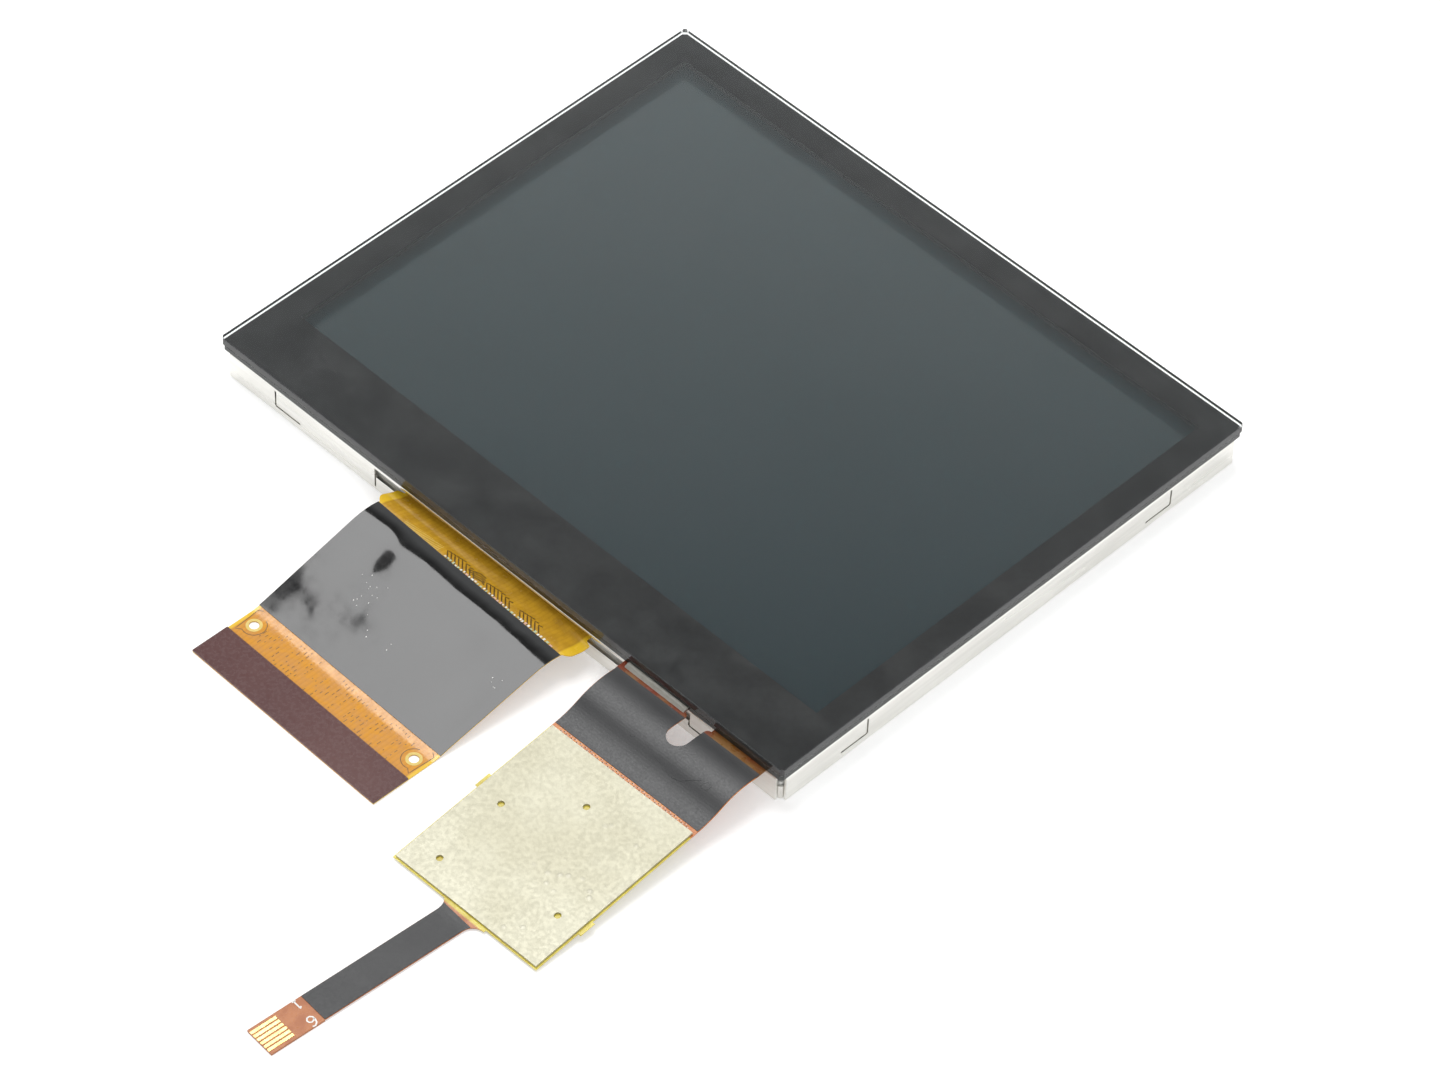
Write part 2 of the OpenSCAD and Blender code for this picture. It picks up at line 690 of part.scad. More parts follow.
module main_flex() {
    color([0.78, 0.52, 0.12]) main_turn() cut_sheet(main_path, 0, main_flex_t) main_outline();
}

module main_cover_film() {
    film_y = main_end + main_film_end;
    color([0.12, 0.12, 0.12])
        main_turn()
            cut_sheet(main_path, main_flex_t, main_flex_t + main_film_t)
                translate([-main_w / 2, film_y])
                    square([main_w, wall_y - main_film_start - film_y]);
}

module main_stiffener() {
    color([0.33, 0.18, 0.16])
        main_turn()
            translate([-main_w / 2, main_end, contact_t + main_flex_t])
                cube([main_w, main_stiffener_l, main_stiffener_t]);
}

module main_contacts() {
    color([0.85, 0.68, 0.3])
        main_turn()
            for (i = [0 : contact_count - 1])
                translate([(i - (contact_count - 1) / 2) * contact_pitch - contact_w / 2, main_end, 0])
                    cube([contact_w, contact_l, contact_t]);
}

// ---- Touch flex --------------------------------------------------------------------------

touch_x = glass_w / 2 - touch_inset - touch_w / 2;
plate_w = touch_w - 2 * plate_margin;
board_l = bare_strip + plate_l + plate_margin;
touch_start = [glass_y + touch_bond, z_sensor - touch_flex_t, 0];
touch_rise = (touch_root_r + touch_crest_r) * (1 - cos(touch_lift));
touch_drop = z_sensor - touch_flex_t + touch_rise - backing_t;
touch_slope = (touch_drop - touch_crest_r * (1 - cos(touch_fall))
    - touch_ease_r * (cos(board_tilt) - cos(touch_fall)) - board_l * sin(board_tilt)
    - touch_landing_r * (1 - cos(board_tilt))) / sin(touch_fall);
leg_segments = [[touch_bond + touch_root, 0], [touch_root_r, touch_lift],
    [touch_crest_r, -touch_lift - touch_fall], [touch_slope, 0], [touch_ease_r, touch_fall - board_tilt]];
board_start = walk(touch_start, leg_segments);
board_end = walk(touch_start, concat(leg_segments, [[board_l, 0]]));
touch_segments = concat(leg_segments, [[board_l, 0], [touch_landing_r, board_tilt], [2 * tail_l, 0]]);
touch_path = trace(touch_start, touch_segments);

module touch_turn() {
    translate([touch_x, glass_y, 0]) rotate([0, 0, touch_yaw]) translate([0, -glass_y, 0]) children();
}

// Frame of the tail: root at the board's edge, running along -Y
module tail_turn() {
    translate([tail_x, board_end[0], 0]) rotate([0, 0, tail_yaw]) children();
}

// Frame of the board: origin on the flex's lower face at the board's near edge
module on_board() {
    translate([0, board_start[0], board_start[1]]) rotate([board_tilt, 0, 0]) children();
}

module leg_slot() {
    mouth_r = 0.5;
    translate([leg_slot_x, glass_y - leg_slot_l]) circle(r = leg_slot_w / 2);
    translate([leg_slot_x - leg_slot_w / 2, glass_y - leg_slot_l])
        square([leg_slot_w, leg_slot_l + touch_bond + over]);
    // rounded mouth at the root of the legs
    translate([leg_slot_x - leg_slot_w / 2 - mouth_r, glass_y - touch_root])
        difference() {
            square([leg_slot_w + 2 * mouth_r, touch_root + touch_bond + over]);
            for (x = [0, leg_slot_w + 2 * mouth_r]) circle_at(x, 0, mouth_r);
        }
}

module circle_at(x, y, r) {
    translate([x, y]) circle(r = r);
}

module board_outline() {
    difference() {
        translate([-touch_w / 2, board_end[0]]) square([touch_w, touch_start[0] - board_end[0]]);
        leg_slot();
    }
    tab_out = 0.3;
    left_tab = 9.2;
    right_tab = 14.6;
    translate([-touch_w / 2 - tab_out, board_start[0] - left_tab - tab_l / 2])
        square([tab_out + eps, tab_l]);
    translate([touch_w / 2 - eps, board_start[0] - right_tab - tab_l / 2])
        square([tab_out + eps, tab_l]);
}

// The tail's strip, and its root with a fillet on both sides
module tail_outline(from, to) {
    translate([-tail_w / 2, -to]) square([tail_w, to - from]);
}

module tail_root_outline() {
    difference() {
        translate([-tail_w / 2 - tail_fillet, -tail_fillet])
            square([tail_w + 2 * tail_fillet, tail_fillet + 0.4]);
        for (x = [-1, 1]) circle_at(x * (tail_w / 2 + tail_fillet), -tail_fillet, tail_fillet);
    }
}

module touch_flex() {
    color([0.8, 0.5, 0.18])
        touch_turn()
            cut_sheet(touch_path, 0, touch_flex_t) {
                board_outline();
                tail_turn() {
                    tail_outline(-0.4, tail_l);
                    tail_root_outline();
                }
            }
}

// Black film on the legs, from near the glass to the bare strip
module leg_cover_film() {
    edge = 0.05;
    film_y = glass_y - leg_film_start;
    color([0.15, 0.15, 0.16])
        touch_turn()
            cut_sheet(touch_path, touch_flex_t, touch_flex_t + touch_film_t)
                difference() {
                    translate([-touch_w / 2 + edge, board_start[0]])
                        square([touch_w - 2 * edge, film_y - board_start[0]]);
                    leg_slot();
                }
}

// Places of the small holes in the stiffener plate, from its near edge
plate_holes = [[-6.15, -9.65], [-0.1, -4.55], [-5.9, -17.8], [6.6, -15]];

module board_stiffener() {
    color([0.75, 0.72, 0.64])
        touch_turn() on_board()
            translate([0, -bare_strip, touch_flex_t])
                difference() {
                    translate([-plate_w / 2, -plate_l, 0]) cube([plate_w, plate_l, plate_t]);
                    for (p = plate_holes)
                        translate([p[0], p[1], -eps]) cylinder(r = plate_hole_r, h = plate_t + 2 * eps);
                }
}

// Parts on the back of the board, each sitting on the flex's lower face
module under_board(x, y, size) {
    touch_turn() on_board()
        translate([x - size[0] / 2, y - size[1] / 2, -size[2]]) cube(size);
}

module touch_controller() {
    color([0.12, 0.12, 0.13])
        under_board(-0.6, -10.6, [controller_size[0], controller_size[0], controller_size[1]]);
}

capacitor_size = [0.5, 1, 0.5];
capacitor_places = [[6.2, -5.4], [7.4, -5.4], [6.2, -8.2], [7.4, -8.2], [5.4, -11.2], [6.6, -11.2],
    [3.8, -16], [5, -16]];
resistor_size = [1, 0.5, 0.35];
resistor_places = [[-6.2, -6], [-6.2, -7.4], [-6.2, -12], [0.4, -17.4], [-1.4, -17.4], [2, -17.4]];

module touch_capacitors() {
    color([0.62, 0.5, 0.4]) for (p = capacitor_places) under_board(p[0], p[1], capacitor_size);
}

module touch_resistors() {
    color([0.14, 0.14, 0.14]) for (p = resistor_places) under_board(p[0], p[1], resistor_size);
}

module tail_cover_film() {
    edge = 0.04;
    color([0.14, 0.15, 0.14])
        touch_turn()
            cut_sheet(touch_path, touch_flex_t, touch_flex_t + touch_film_t)
                tail_turn()
                    union() {
                        translate([-tail_w / 2 + edge, -tail_l + tail_end_l])
                            square([tail_w - 2 * edge, tail_l - tail_end_l - tail_bare]);
                        intersection() {
                            translate([-tail_w, -tail_fillet])
                                square([2 * tail_w, tail_fillet - tail_bare]);
                            tail_root_outline();
                        }
                    }
}

module tail_backing() {
    color([0.78, 0.5, 0.15])
        touch_turn() tail_turn()
            translate([-tail_w / 2, -tail_l, 0]) cube([tail_w, tail_end_l, backing_t]);
}

module tail_contacts() {
    color([0.88, 0.7, 0.3])
        touch_turn() tail_turn()
            for (i = [0 : tail_contact_count - 1])
                translate([(i - (tail_contact_count - 1) / 2) * contact_pitch - contact_w / 2,
                    -tail_l, backing_t + touch_flex_t])
                    cube([contact_w, tail_contact_l, contact_t]);
}

// Bead of sealant in the corner between the left leg and the edge of the sensor glass
module sealing_bead() {
    bead_start = 0.55;
    // radius of the arc that spans the bead's width and height
    arc_r = (pow(bead_size[0], 2) + pow(bead_size[1], 2)) / (2 * bead_size[1]);
    color([0.55, 0.54, 0.5])
        translate([touch_x - touch_w / 2 + bead_start, glass_y + sensor_inset, z_sensor])
            rotate([90, 0, 90])
                linear_extrude(bead_l)
                    intersection() {
                        translate([-bead_size[0], 0]) square(bead_size);
                        translate([0, bead_size[1] - arc_r]) circle(r = arc_r, $fn = 180);
                    }
}

// ---- Assembly ----------------------------------------------------------------------------

cover_glass();
cover_print();
optical_adhesive();
sensor_glass();
panel_gasket();
front_bezel();
cell_cushion();
upper_polarizer();
filter_glass();
tft_glass();
lower_polarizer();
driver_chip();
rim_tape();
upper_diffuser();
upper_prism_film();
lower_prism_film();
lower_diffuser();
light_guide();
reflector_film();
moulded_frame();
led_strip();
leds();
rear_cover();
main_flex();
main_cover_film();
main_stiffener();
main_contacts();
touch_flex();
leg_cover_film();
board_stiffener();
touch_controller();
touch_capacitors();
touch_resistors();
tail_cover_film();
tail_backing();
tail_contacts();
sealing_bead();
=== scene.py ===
import math
import random

import bmesh
import bpy
from mathutils import Matrix, Vector


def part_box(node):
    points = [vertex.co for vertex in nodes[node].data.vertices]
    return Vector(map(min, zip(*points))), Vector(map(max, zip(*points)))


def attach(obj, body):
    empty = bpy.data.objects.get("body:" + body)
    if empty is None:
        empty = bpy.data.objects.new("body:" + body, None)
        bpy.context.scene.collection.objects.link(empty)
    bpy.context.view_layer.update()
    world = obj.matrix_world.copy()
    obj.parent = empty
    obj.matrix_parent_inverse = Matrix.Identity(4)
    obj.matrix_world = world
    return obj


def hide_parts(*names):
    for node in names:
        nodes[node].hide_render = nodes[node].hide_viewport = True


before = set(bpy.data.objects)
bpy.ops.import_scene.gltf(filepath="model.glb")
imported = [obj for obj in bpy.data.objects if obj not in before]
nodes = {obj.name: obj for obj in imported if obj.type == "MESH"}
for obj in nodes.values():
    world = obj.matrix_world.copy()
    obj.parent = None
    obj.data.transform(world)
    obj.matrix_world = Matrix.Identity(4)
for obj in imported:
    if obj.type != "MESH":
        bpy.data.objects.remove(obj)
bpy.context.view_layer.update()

rnd = random.Random(7)
MM = 0.001


def box(node):
    """A CAD node's lowest and highest corners, in millimetres."""
    low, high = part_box(node)
    return low / MM, high / MM


# ---------------------------------------------------------------- places taken from the frame, in mm
SENSOR_LOW, SENSOR_HIGH = box("sensor_glass")
PRINT_HIGH = box("cover_print")[1]
POLARIZER_LOW, POLARIZER_HIGH = box("upper_polarizer")
GLASS_LOW, GLASS_HIGH = box("cover_glass")
Z_FILTER = box("filter_glass")[0].z
WALL_Y = box("front_bezel")[0].y
LEDGE_Y = box("tft_glass")[0].y
GLASS_Y = GLASS_LOW.y

# Sizes of the flexes, the same as in the part's source
FLEX_T, FILM_T, LEG_FILM_T = 0.1, 0.06, 0.05
MAIN_HALF, EAR_HALF = 12.75, 13.45
EAR_L, EAR_R, EAR_START = 3.2, 0.9, 0.15
MAIN_GRIP = 1.5         # how far the main flex lies on the display's ledge
MAIN_LIFT, MAIN_FALL, MAIN_CONTACT_T = 24.0, 13.5, 0.035
MAIN_R1, MAIN_R2, MAIN_R3, MAIN_FLAT, MAIN_YAW = 4, 8, 6, 7.1, -1.1
HOLE_R, HOLE_X, HOLE_BACK = 0.5, 11.25, 6.4
FILM_TUCK, FILM_BACK, STIFFENER_L = 3.4, 8.4, 4.35
BOND, TOUCH_W, TOUCH_INSET = 2.3, 18.6, 2.08
LEG_LIFT, LEG_FALL, BOARD_TILT, BOARD_L, BACKING_T = 6.0, 22.0, 5.0, 21.0, 0.15
LEG_START, LEG_R1, LEG_R2, LEG_R3, TOUCH_YAW = 0.8, 10, 8, 10, 0.8
TAIL_R, TAIL_RUN, TAIL_X, TAIL_YAW = 20, 46.8, -0.22, -5.0

WINDOW_INSET = 1.0      # from the polarizer's edge to the border's window
GLASS_CLIP = 0.35       # the glass's clipped corners


# ---------------------------------------------------------------- node trees
class Tree:
    """Short names for building a node tree."""

    def __init__(self, owner):
        owner.use_nodes = True
        self.t = owner.node_tree
        self.t.nodes.clear()

    def add(self, kind, **values):
        node = self.t.nodes.new(kind)
        for name, value in values.items():
            setattr(node, name, value)
        return node

    def link(self, a, b):
        self.t.links.new(a, b)

    def put(self, node, name, value):
        socket = node.inputs[name]
        if isinstance(value, bpy.types.NodeSocket):
            self.link(value, socket)
        else:
            socket.default_value = value

    def math(self, operation, a, b=0.0):
        node = self.add("ShaderNodeMath", operation=operation)
        self.put(node, 0, a)
        self.put(node, 1, b)
        return node.outputs[0]

    def mix(self, factor, a, b):
        node = self.add("ShaderNodeMix", data_type="RGBA")
        self.put(node, 0, factor)
        self.put(node, 6, a)
        self.put(node, 7, b)
        return node.outputs[2]

    def ramp(self, value, low, high, to_low=0.0, to_high=1.0, smooth=True):
        kind = "SMOOTHSTEP" if smooth else "LINEAR"
        node = self.add("ShaderNodeMapRange", interpolation_type=kind)
        self.put(node, "Value", value)
        node.inputs["From Min"].default_value = low
        node.inputs["From Max"].default_value = high
        node.inputs["To Min"].default_value = to_low
        node.inputs["To Max"].default_value = to_high
        return node.outputs["Result"]

    def coords(self, scale=(1, 1, 1), uv=False):
        source = self.add("ShaderNodeTexCoord").outputs["UV" if uv else "Object"]
        node = self.add("ShaderNodeMapping")
        node.inputs["Scale"].default_value = scale
        self.link(source, node.inputs["Vector"])
        return node.outputs["Vector"]

    def axes(self, vector):
        node = self.add("ShaderNodeSeparateXYZ")
        self.link(vector, node.inputs[0])
        return node.outputs

    def noise(self, vector, scale, detail=3.0, rough=0.5):
        node = self.add("ShaderNodeTexNoise")
        self.link(vector, node.inputs["Vector"])
        node.inputs["Scale"].default_value = scale
        node.inputs["Detail"].default_value = detail
        node.inputs["Roughness"].default_value = rough
        return node.outputs["Fac"]

    def bump(self, height, strength, distance, normal=None):
        node = self.add("ShaderNodeBump")
        node.inputs["Strength"].default_value = strength
        node.inputs["Distance"].default_value = distance
        self.link(height, node.inputs["Height"])
        if normal is not None:
            self.link(normal, node.inputs["Normal"])
        return node.outputs["Normal"]

    def surface(self, shader, kind="ShaderNodeOutputMaterial"):
        self.link(shader, self.add(kind).inputs["Surface"])


def rgb(red, green, blue):
    """An sRGB colour of 0 to 255 as a linear one."""
    def linear(v):
        v /= 255
        return v / 12.92 if v <= 0.04045 else ((v + 0.055) / 1.055) ** 2.4
    return (linear(red), linear(green), linear(blue), 1)


# ---------------------------------------------------------------- camera, world, lamps and floor
AZIMUTH, ELEVATION, ROLL = 43.17, 47.68, 2.40       # degrees
DISTANCE, SHIFT_RIGHT, SHIFT_UP = 624.1, -0.92, -12.14
SENSOR_W = 36
VIEW_RATIO = 6386.13 / 1440     # focal length over the picture's width


def camera():
    azimuth, elevation, roll = (math.radians(v) for v in (AZIMUTH, ELEVATION, ROLL))
    back = Vector((math.sin(azimuth) * math.cos(elevation), -math.cos(azimuth) * math.cos(elevation),
                   math.sin(elevation)))
    level = Vector((0, 0, 1)).cross(back).normalized()
    above = back.cross(level)
    right = level * math.cos(roll) + above * math.sin(roll)
    up = above * math.cos(roll) - level * math.sin(roll)
    data = bpy.data.cameras.new("camera")
    data.sensor_width = SENSOR_W
    data.lens = VIEW_RATIO * SENSOR_W
    data.clip_start, data.clip_end = 0.01, 20
    made = bpy.data.objects.new("camera", data)
    bpy.context.scene.collection.objects.link(made)
    place = (back * DISTANCE + right * SHIFT_RIGHT + up * SHIFT_UP) * MM
    made.matrix_world = Matrix.Translation(place) @ Matrix((right, up, back)).transposed().to_4x4()
    bpy.context.scene.camera = made
    bpy.context.scene.view_settings.view_transform = "Standard"


def studio_world():
    """White to the camera; to gloss and glass a bright horizon that dims overhead."""
    world = bpy.data.worlds.new("studio")
    bpy.context.scene.world = world
    t = Tree(world)
    height = t.axes(t.add("ShaderNodeTexCoord").outputs["Generated"])["Z"]
    fall = t.ramp(height, 0.676, 0.775, 0.98, 0.13, smooth=False)
    rise = t.ramp(height, 0.80, 0.97, 0.0, 0.62)
    level = t.math("ADD", fall, rise)
    rays = t.add("ShaderNodeLightPath").outputs
    shiny = t.math("MAXIMUM", rays["Is Glossy Ray"], rays["Is Transmission Ray"])
    tinted = t.add("ShaderNodeCombineXYZ")
    for axis, share in enumerate((0.97, 1.0, 1.02)):
        t.link(t.math("MULTIPLY", level, share), tinted.inputs[axis])
    colour = t.mix(shiny, (0.72, 0.72, 0.72, 1), tinted.outputs[0])
    colour = t.mix(rays["Is Camera Ray"], colour, (1, 1, 1, 1))
    background = t.add("ShaderNodeBackground")
    t.link(colour, background.inputs["Color"])
    background.inputs["Strength"].default_value = 1.0
    t.surface(background.outputs[0], "ShaderNodeOutputWorld")


def lamp(name, place, size, power):
    """A large soft lamp, aimed at the object's middle."""
    data = bpy.data.lights.new(name, "AREA")
    data.shape = "DISK"
    data.size = size
    data.energy = power
    made = bpy.data.objects.new(name, data)
    bpy.context.scene.collection.objects.link(made)
    made.location = place
    made.rotation_mode = "QUATERNION"
    made.rotation_quaternion = (Vector((0, -0.02, 0)) - Vector(place)).to_track_quat("-Z", "Y")


def floor():
    """A pale floor that looks white and still takes the object's shadow."""
    reach, drop = 6, 1e-5
    corners = [(-reach, -reach, -drop), (reach, -reach, -drop), (reach, reach, -drop), (-reach, reach, -drop)]
    mesh = bpy.data.meshes.new("floor")
    mesh.from_pydata(corners, [], [(0, 1, 2, 3)])
    made = bpy.data.objects.new("floor", mesh)
    bpy.context.scene.collection.objects.link(made)
    look = bpy.data.materials.new("floor_pale")
    t = Tree(look)
    matte = t.add("ShaderNodeBsdfDiffuse")
    matte.inputs["Color"].default_value = (0.80, 0.80, 0.80, 1)
    rays = t.add("ShaderNodeLightPath").outputs
    seen = t.math("MAXIMUM", rays["Is Camera Ray"], rays["Is Glossy Ray"])
    seen = t.math("MAXIMUM", seen, rays["Is Transmission Ray"])
    glow = t.add("ShaderNodeEmission")
    t.link(t.math("MULTIPLY", seen, 0.34), glow.inputs["Strength"])
    both = t.add("ShaderNodeAddShader")
    t.link(matte.outputs[0], both.inputs[0])
    t.link(glow.outputs[0], both.inputs[1])
    t.surface(both.outputs[0])
    mesh.materials.append(look)


# ---------------------------------------------------------------- mesh helpers
def piece(name, data, look, smooth=False, uvs=None):
    """Makes one mesh piece from vertices in millimetres and faces."""
    verts, faces = data
    mesh = bpy.data.meshes.new(name)
    mesh.from_pydata([tuple(c * MM for c in v) for v in verts], [], faces)
    if uvs:
        layer = mesh.uv_layers.new(name="UVMap")
        for loop in mesh.loops:
            layer.data[loop.index].uv = uvs[loop.vertex_index]
    mesh.materials.append(look)
    for polygon in mesh.polygons:
        polygon.use_smooth = smooth
    made = bpy.data.objects.new(name, mesh)
    bpy.context.scene.collection.objects.link(made)
    work = bmesh.new()
    work.from_mesh(mesh)
    bmesh.ops.recalc_face_normals(work, faces=work.faces)
    work.to_mesh(mesh)
    work.free()
    if smooth:
        mesh.set_sharp_from_angle(angle=math.radians(35))
    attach(made, "root")
    return made


def join_data(parts):
    verts, faces = [], []
    for part_verts, part_faces in parts:
        first = len(verts)
        verts += part_verts
        faces += [tuple(i + first for i in face) for face in part_faces]
    return verts, faces


# ---------------------------------------------------------------- the flexes' surfaces
def ahead(place, segment, share):
    """The place, as y, z and heading, at a share of a segment of (length, 0) or (radius, turn)."""
    y, z, heading = place
    size, degrees = segment
    if degrees == 0:
        return (y - size * share * math.cos(heading), z + size * share * math.sin(heading), heading)
    turn = math.radians(degrees)
    r = math.copysign(size, turn)
    new = heading + share * turn
    return (y - r * (math.sin(new) - math.sin(heading)), z + r * (math.cos(heading) - math.cos(new)), new)


def segment_length(segment):
    return segment[0] if segment[1] == 0 else segment[0] * math.radians(abs(segment[1]))


class Sheet:
    """A bent flex: at(x, s, d) is the point x across, s along and d above its lower face."""

    def __init__(self, start, segments, pivot, yaw, offset=0.0, warp=None):
        self.start, self.segments = start, segments
        self.pivot, self.yaw, self.offset = pivot, math.radians(yaw), offset
        self.warp = warp
        self.length = sum(segment_length(g) for g in segments)

    def path(self, s):
        place = self.start
        for g in self.segments:
            length = segment_length(g)
            if s <= length or g is self.segments[-1]:
                return ahead(place, g, s / length)
            s -= length
            place = ahead(place, g, 1)

    def along(self, y):
        """How far along the flex its path reaches y."""
        low, high = 0.0, self.length
        for _ in range(40):
            middle = (low + high) / 2
            if self.path(middle)[0] > y:
                low = middle
            else:
                high = middle
        return low

    def at(self, x, s, d=0.0):
        y, z, heading = self.path(s)
        if self.warp:
            z += self.warp(x, s)
        y += d * math.sin(heading)
        z += d * math.cos(heading)
        px, py = self.pivot
        x += self.offset
        c, n = math.cos(self.yaw), math.sin(self.yaw)
        return (px + (x - px) * c - (y - py) * n, py + (x - px) * n + (y - py) * c, z)


class Tail:
    """The touch tail's own frame on its sheet: x across, s along from the board's edge."""

    def __init__(self, sheet, x0, y0, yaw):
        self.sheet, self.x0, self.y0, self.yaw = sheet, x0, y0, math.radians(yaw)

    def at(self, x, s, d=0.0):
        c, n = math.cos(self.yaw), math.sin(self.yaw)
        y = self.y0 + x * n - s * c
        return self.sheet.at(self.x0 + x * c + s * n, self.sheet.along(y), d)


def smooth(low, high, v):
    t = min(1.0, max(0.0, (v - low) / (high - low)))
    return t * t * (3 - 2 * t)


def drop(degrees):
    """How far a bend of unit radius falls."""
    return 1 - math.cos(math.radians(degrees))


MAIN_OUT = LEDGE_Y + MAIN_GRIP - WALL_Y     # arc length where the main flex leaves the bezel
main_slope = (Z_FILTER + (MAIN_R1 + MAIN_R2) * drop(MAIN_LIFT) - MAIN_CONTACT_T
              - (MAIN_R2 + MAIN_R3) * drop(MAIN_FALL)) / math.sin(math.radians(MAIN_FALL))
MAIN_SEGMENTS = [(MAIN_OUT, 0), (MAIN_R1, MAIN_LIFT), (MAIN_R2, -MAIN_LIFT - MAIN_FALL), (main_slope, 0),
                 (MAIN_R3, MAIN_FALL), (MAIN_FLAT, 0)]

# Shallow dents in the black film: place across and beyond the bezel, reach each way, and height
DENTS = [(5.2, 9.0, 2.6, 2.2, -0.16), (-8.5, 7.5, 2.2, 3.6, -0.14), (10.2, 13.0, 1.8, 3.2, -0.12),
         (-2.0, 12.5, 3.2, 2.2, 0.05)]
TWIST = 0.42
LANDED = 20.5           # how far beyond the bezel the flex lies flat


def main_warp(x, s):
    """The main flex lies a little twisted, and its cover film is wavy."""
    u = s - MAIN_OUT
    if u <= 0 or u >= LANDED:
        return 0.0
    t = u / 4.5
    z = TWIST * t * math.exp(1 - t) * (1 - smooth(13, 20, u)) * (-x / MAIN_HALF)
    for x0, u0, reach_x, reach_u, height in DENTS:
        q = ((x - x0) / reach_x) ** 2 + ((u - u0) / reach_u) ** 2
        if q < 9:
            z += height * math.exp(-q) * smooth(2.2, 4.5, u) * (1 - smooth(16, 20, u))
    return z


main = Sheet((LEDGE_Y + MAIN_GRIP, Z_FILTER, 0.0), MAIN_SEGMENTS, (0.0, WALL_Y), MAIN_YAW, 0.0, main_warp)
MAIN_END = main.length
HOLES = [(-HOLE_X, MAIN_END - HOLE_BACK), (HOLE_X, MAIN_END - HOLE_BACK)]
FILM_START, FILM_END = main.along(WALL_Y - FILM_TUCK), MAIN_END - FILM_BACK
STIFFENER_START = MAIN_END - STIFFENER_L

TOUCH_X = GLASS_HIGH.x - TOUCH_INSET - TOUCH_W / 2
TOUCH_Z = SENSOR_LOW.z - FLEX_T
leg_slope = (TOUCH_Z + (LEG_R1 + LEG_R2) * drop(LEG_LIFT) - BACKING_T - LEG_R2 * drop(LEG_FALL)
             - LEG_R3 * (drop(LEG_FALL) - drop(BOARD_TILT)) - BOARD_L * math.sin(math.radians(BOARD_TILT))
             - TAIL_R * drop(BOARD_TILT)) / math.sin(math.radians(LEG_FALL))
LEG_SEGMENTS = [(BOND + LEG_START, 0), (LEG_R1, LEG_LIFT), (LEG_R2, -LEG_LIFT - LEG_FALL), (leg_slope, 0),
                (LEG_R3, LEG_FALL - BOARD_TILT)]
BOARD = sum(segment_length(g) for g in LEG_SEGMENTS)    # arc length at the board's near edge
TOUCH_SEGMENTS = LEG_SEGMENTS + [(BOARD_L, 0), (TAIL_R, BOARD_TILT), (TAIL_RUN, 0)]
touch = Sheet((GLASS_Y + BOND, TOUCH_Z, 0.0), TOUCH_SEGMENTS, (TOUCH_X, GLASS_Y), TOUCH_YAW, TOUCH_X)
tail = Tail(touch, TAIL_X, touch.path(BOARD + BOARD_L)[0], TAIL_YAW)


# ---------------------------------------------------------------- shapes on a sheet
def grid_piece(name, sheet, s0, s1, half, low, high, look, columns, rows):
    """A closed layer on a sheet from s0 to s1, half(s) wide each way, whose UV map holds its places."""
    verts, faces, uvs = [], [], []
    for d in (low, high):
        for j in range(rows + 1):
            s = s0 + (s1 - s0) * j / rows
            for i in range(columns + 1):
                x = half(s) * (i / columns * 2 - 1)
                verts.append(sheet.at(x, s, d))
                uvs.append((x, s))
    w, n = columns + 1, (columns + 1) * (rows + 1)
    for j in range(rows):
        for i in range(columns):
            k = j * w + i
            faces.append((k, k + 1, k + w + 1, k + w))
            faces.append((n + k, n + k + w, n + k + w + 1, n + k + 1))
    for i in range(columns):
        k = rows * w + i
        faces.append((i, n + i, n + i + 1, i + 1))
        faces.append((k, k + 1, n + k + 1, n + k))
    for j in range(rows):
        k, m = j * w, j * w + columns
        faces.append((k, k + w, n + k + w, n + k))
        faces.append((m, n + m, n + m + w, m + w))
    return piece(name, (verts, faces), look, True, uvs)


def strip_data(sheet, points, width, low, high, step=0.35):
    """A raised band along points of (x, s), from low to high above the sheet."""
    dense = []
    for (xa, sa), (xb, sb) in zip(points, points[1:]):
        n = max(1, int(math.hypot(xb - xa, sb - sa) / step))
        dense += [(xa + (xb - xa) * k / n, sa + (sb - sa) * k / n) for k in range(n)]
    dense.append(points[-1])
    verts, faces = [], []
    for i, (x, s) in enumerate(dense):
        xa, sa = dense[max(0, i - 1)]
        xb, sb = dense[min(len(dense) - 1, i + 1)]
        reach = width / 2 / math.hypot(xb - xa, sb - sa)
        dx, ds = -(sb - sa) * reach, (xb - xa) * reach
        verts += [sheet.at(x + dx, s + ds, low), sheet.at(x - dx, s - ds, low),
                  sheet.at(x - dx, s - ds, high), sheet.at(x + dx, s + ds, high)]
    for i in range(len(dense) - 1):
        k = i * 4
        for e in range(4):
            f = (e + 1) % 4
            faces.append((k + e, k + f, k + 4 + f, k + 4 + e))
    k = (len(dense) - 1) * 4
    faces += [(3, 2, 1, 0), (k, k + 1, k + 2, k + 3)]
    return verts, faces


def circle(sides):
    return [(math.cos(2 * math.pi * k / sides), math.sin(2 * math.pi * k / sides)) for k in range(sides)]


def prism_faces(sides):
    """The faces of a closed prism whose two rings of vertices follow each other."""
    faces = [tuple(range(sides)), tuple(range(2 * sides - 1, sides - 1, -1))]
    return faces + [(k, (k + 1) % sides, sides + (k + 1) % sides, sides + k) for k in range(sides)]


def disc_data(sheet, x, s, r, low, high, sides):
    verts = [sheet.at(x + c * r, s + e * r, d) for d in (low, high) for c, e in circle(sides)]
    return verts, prism_faces(sides)


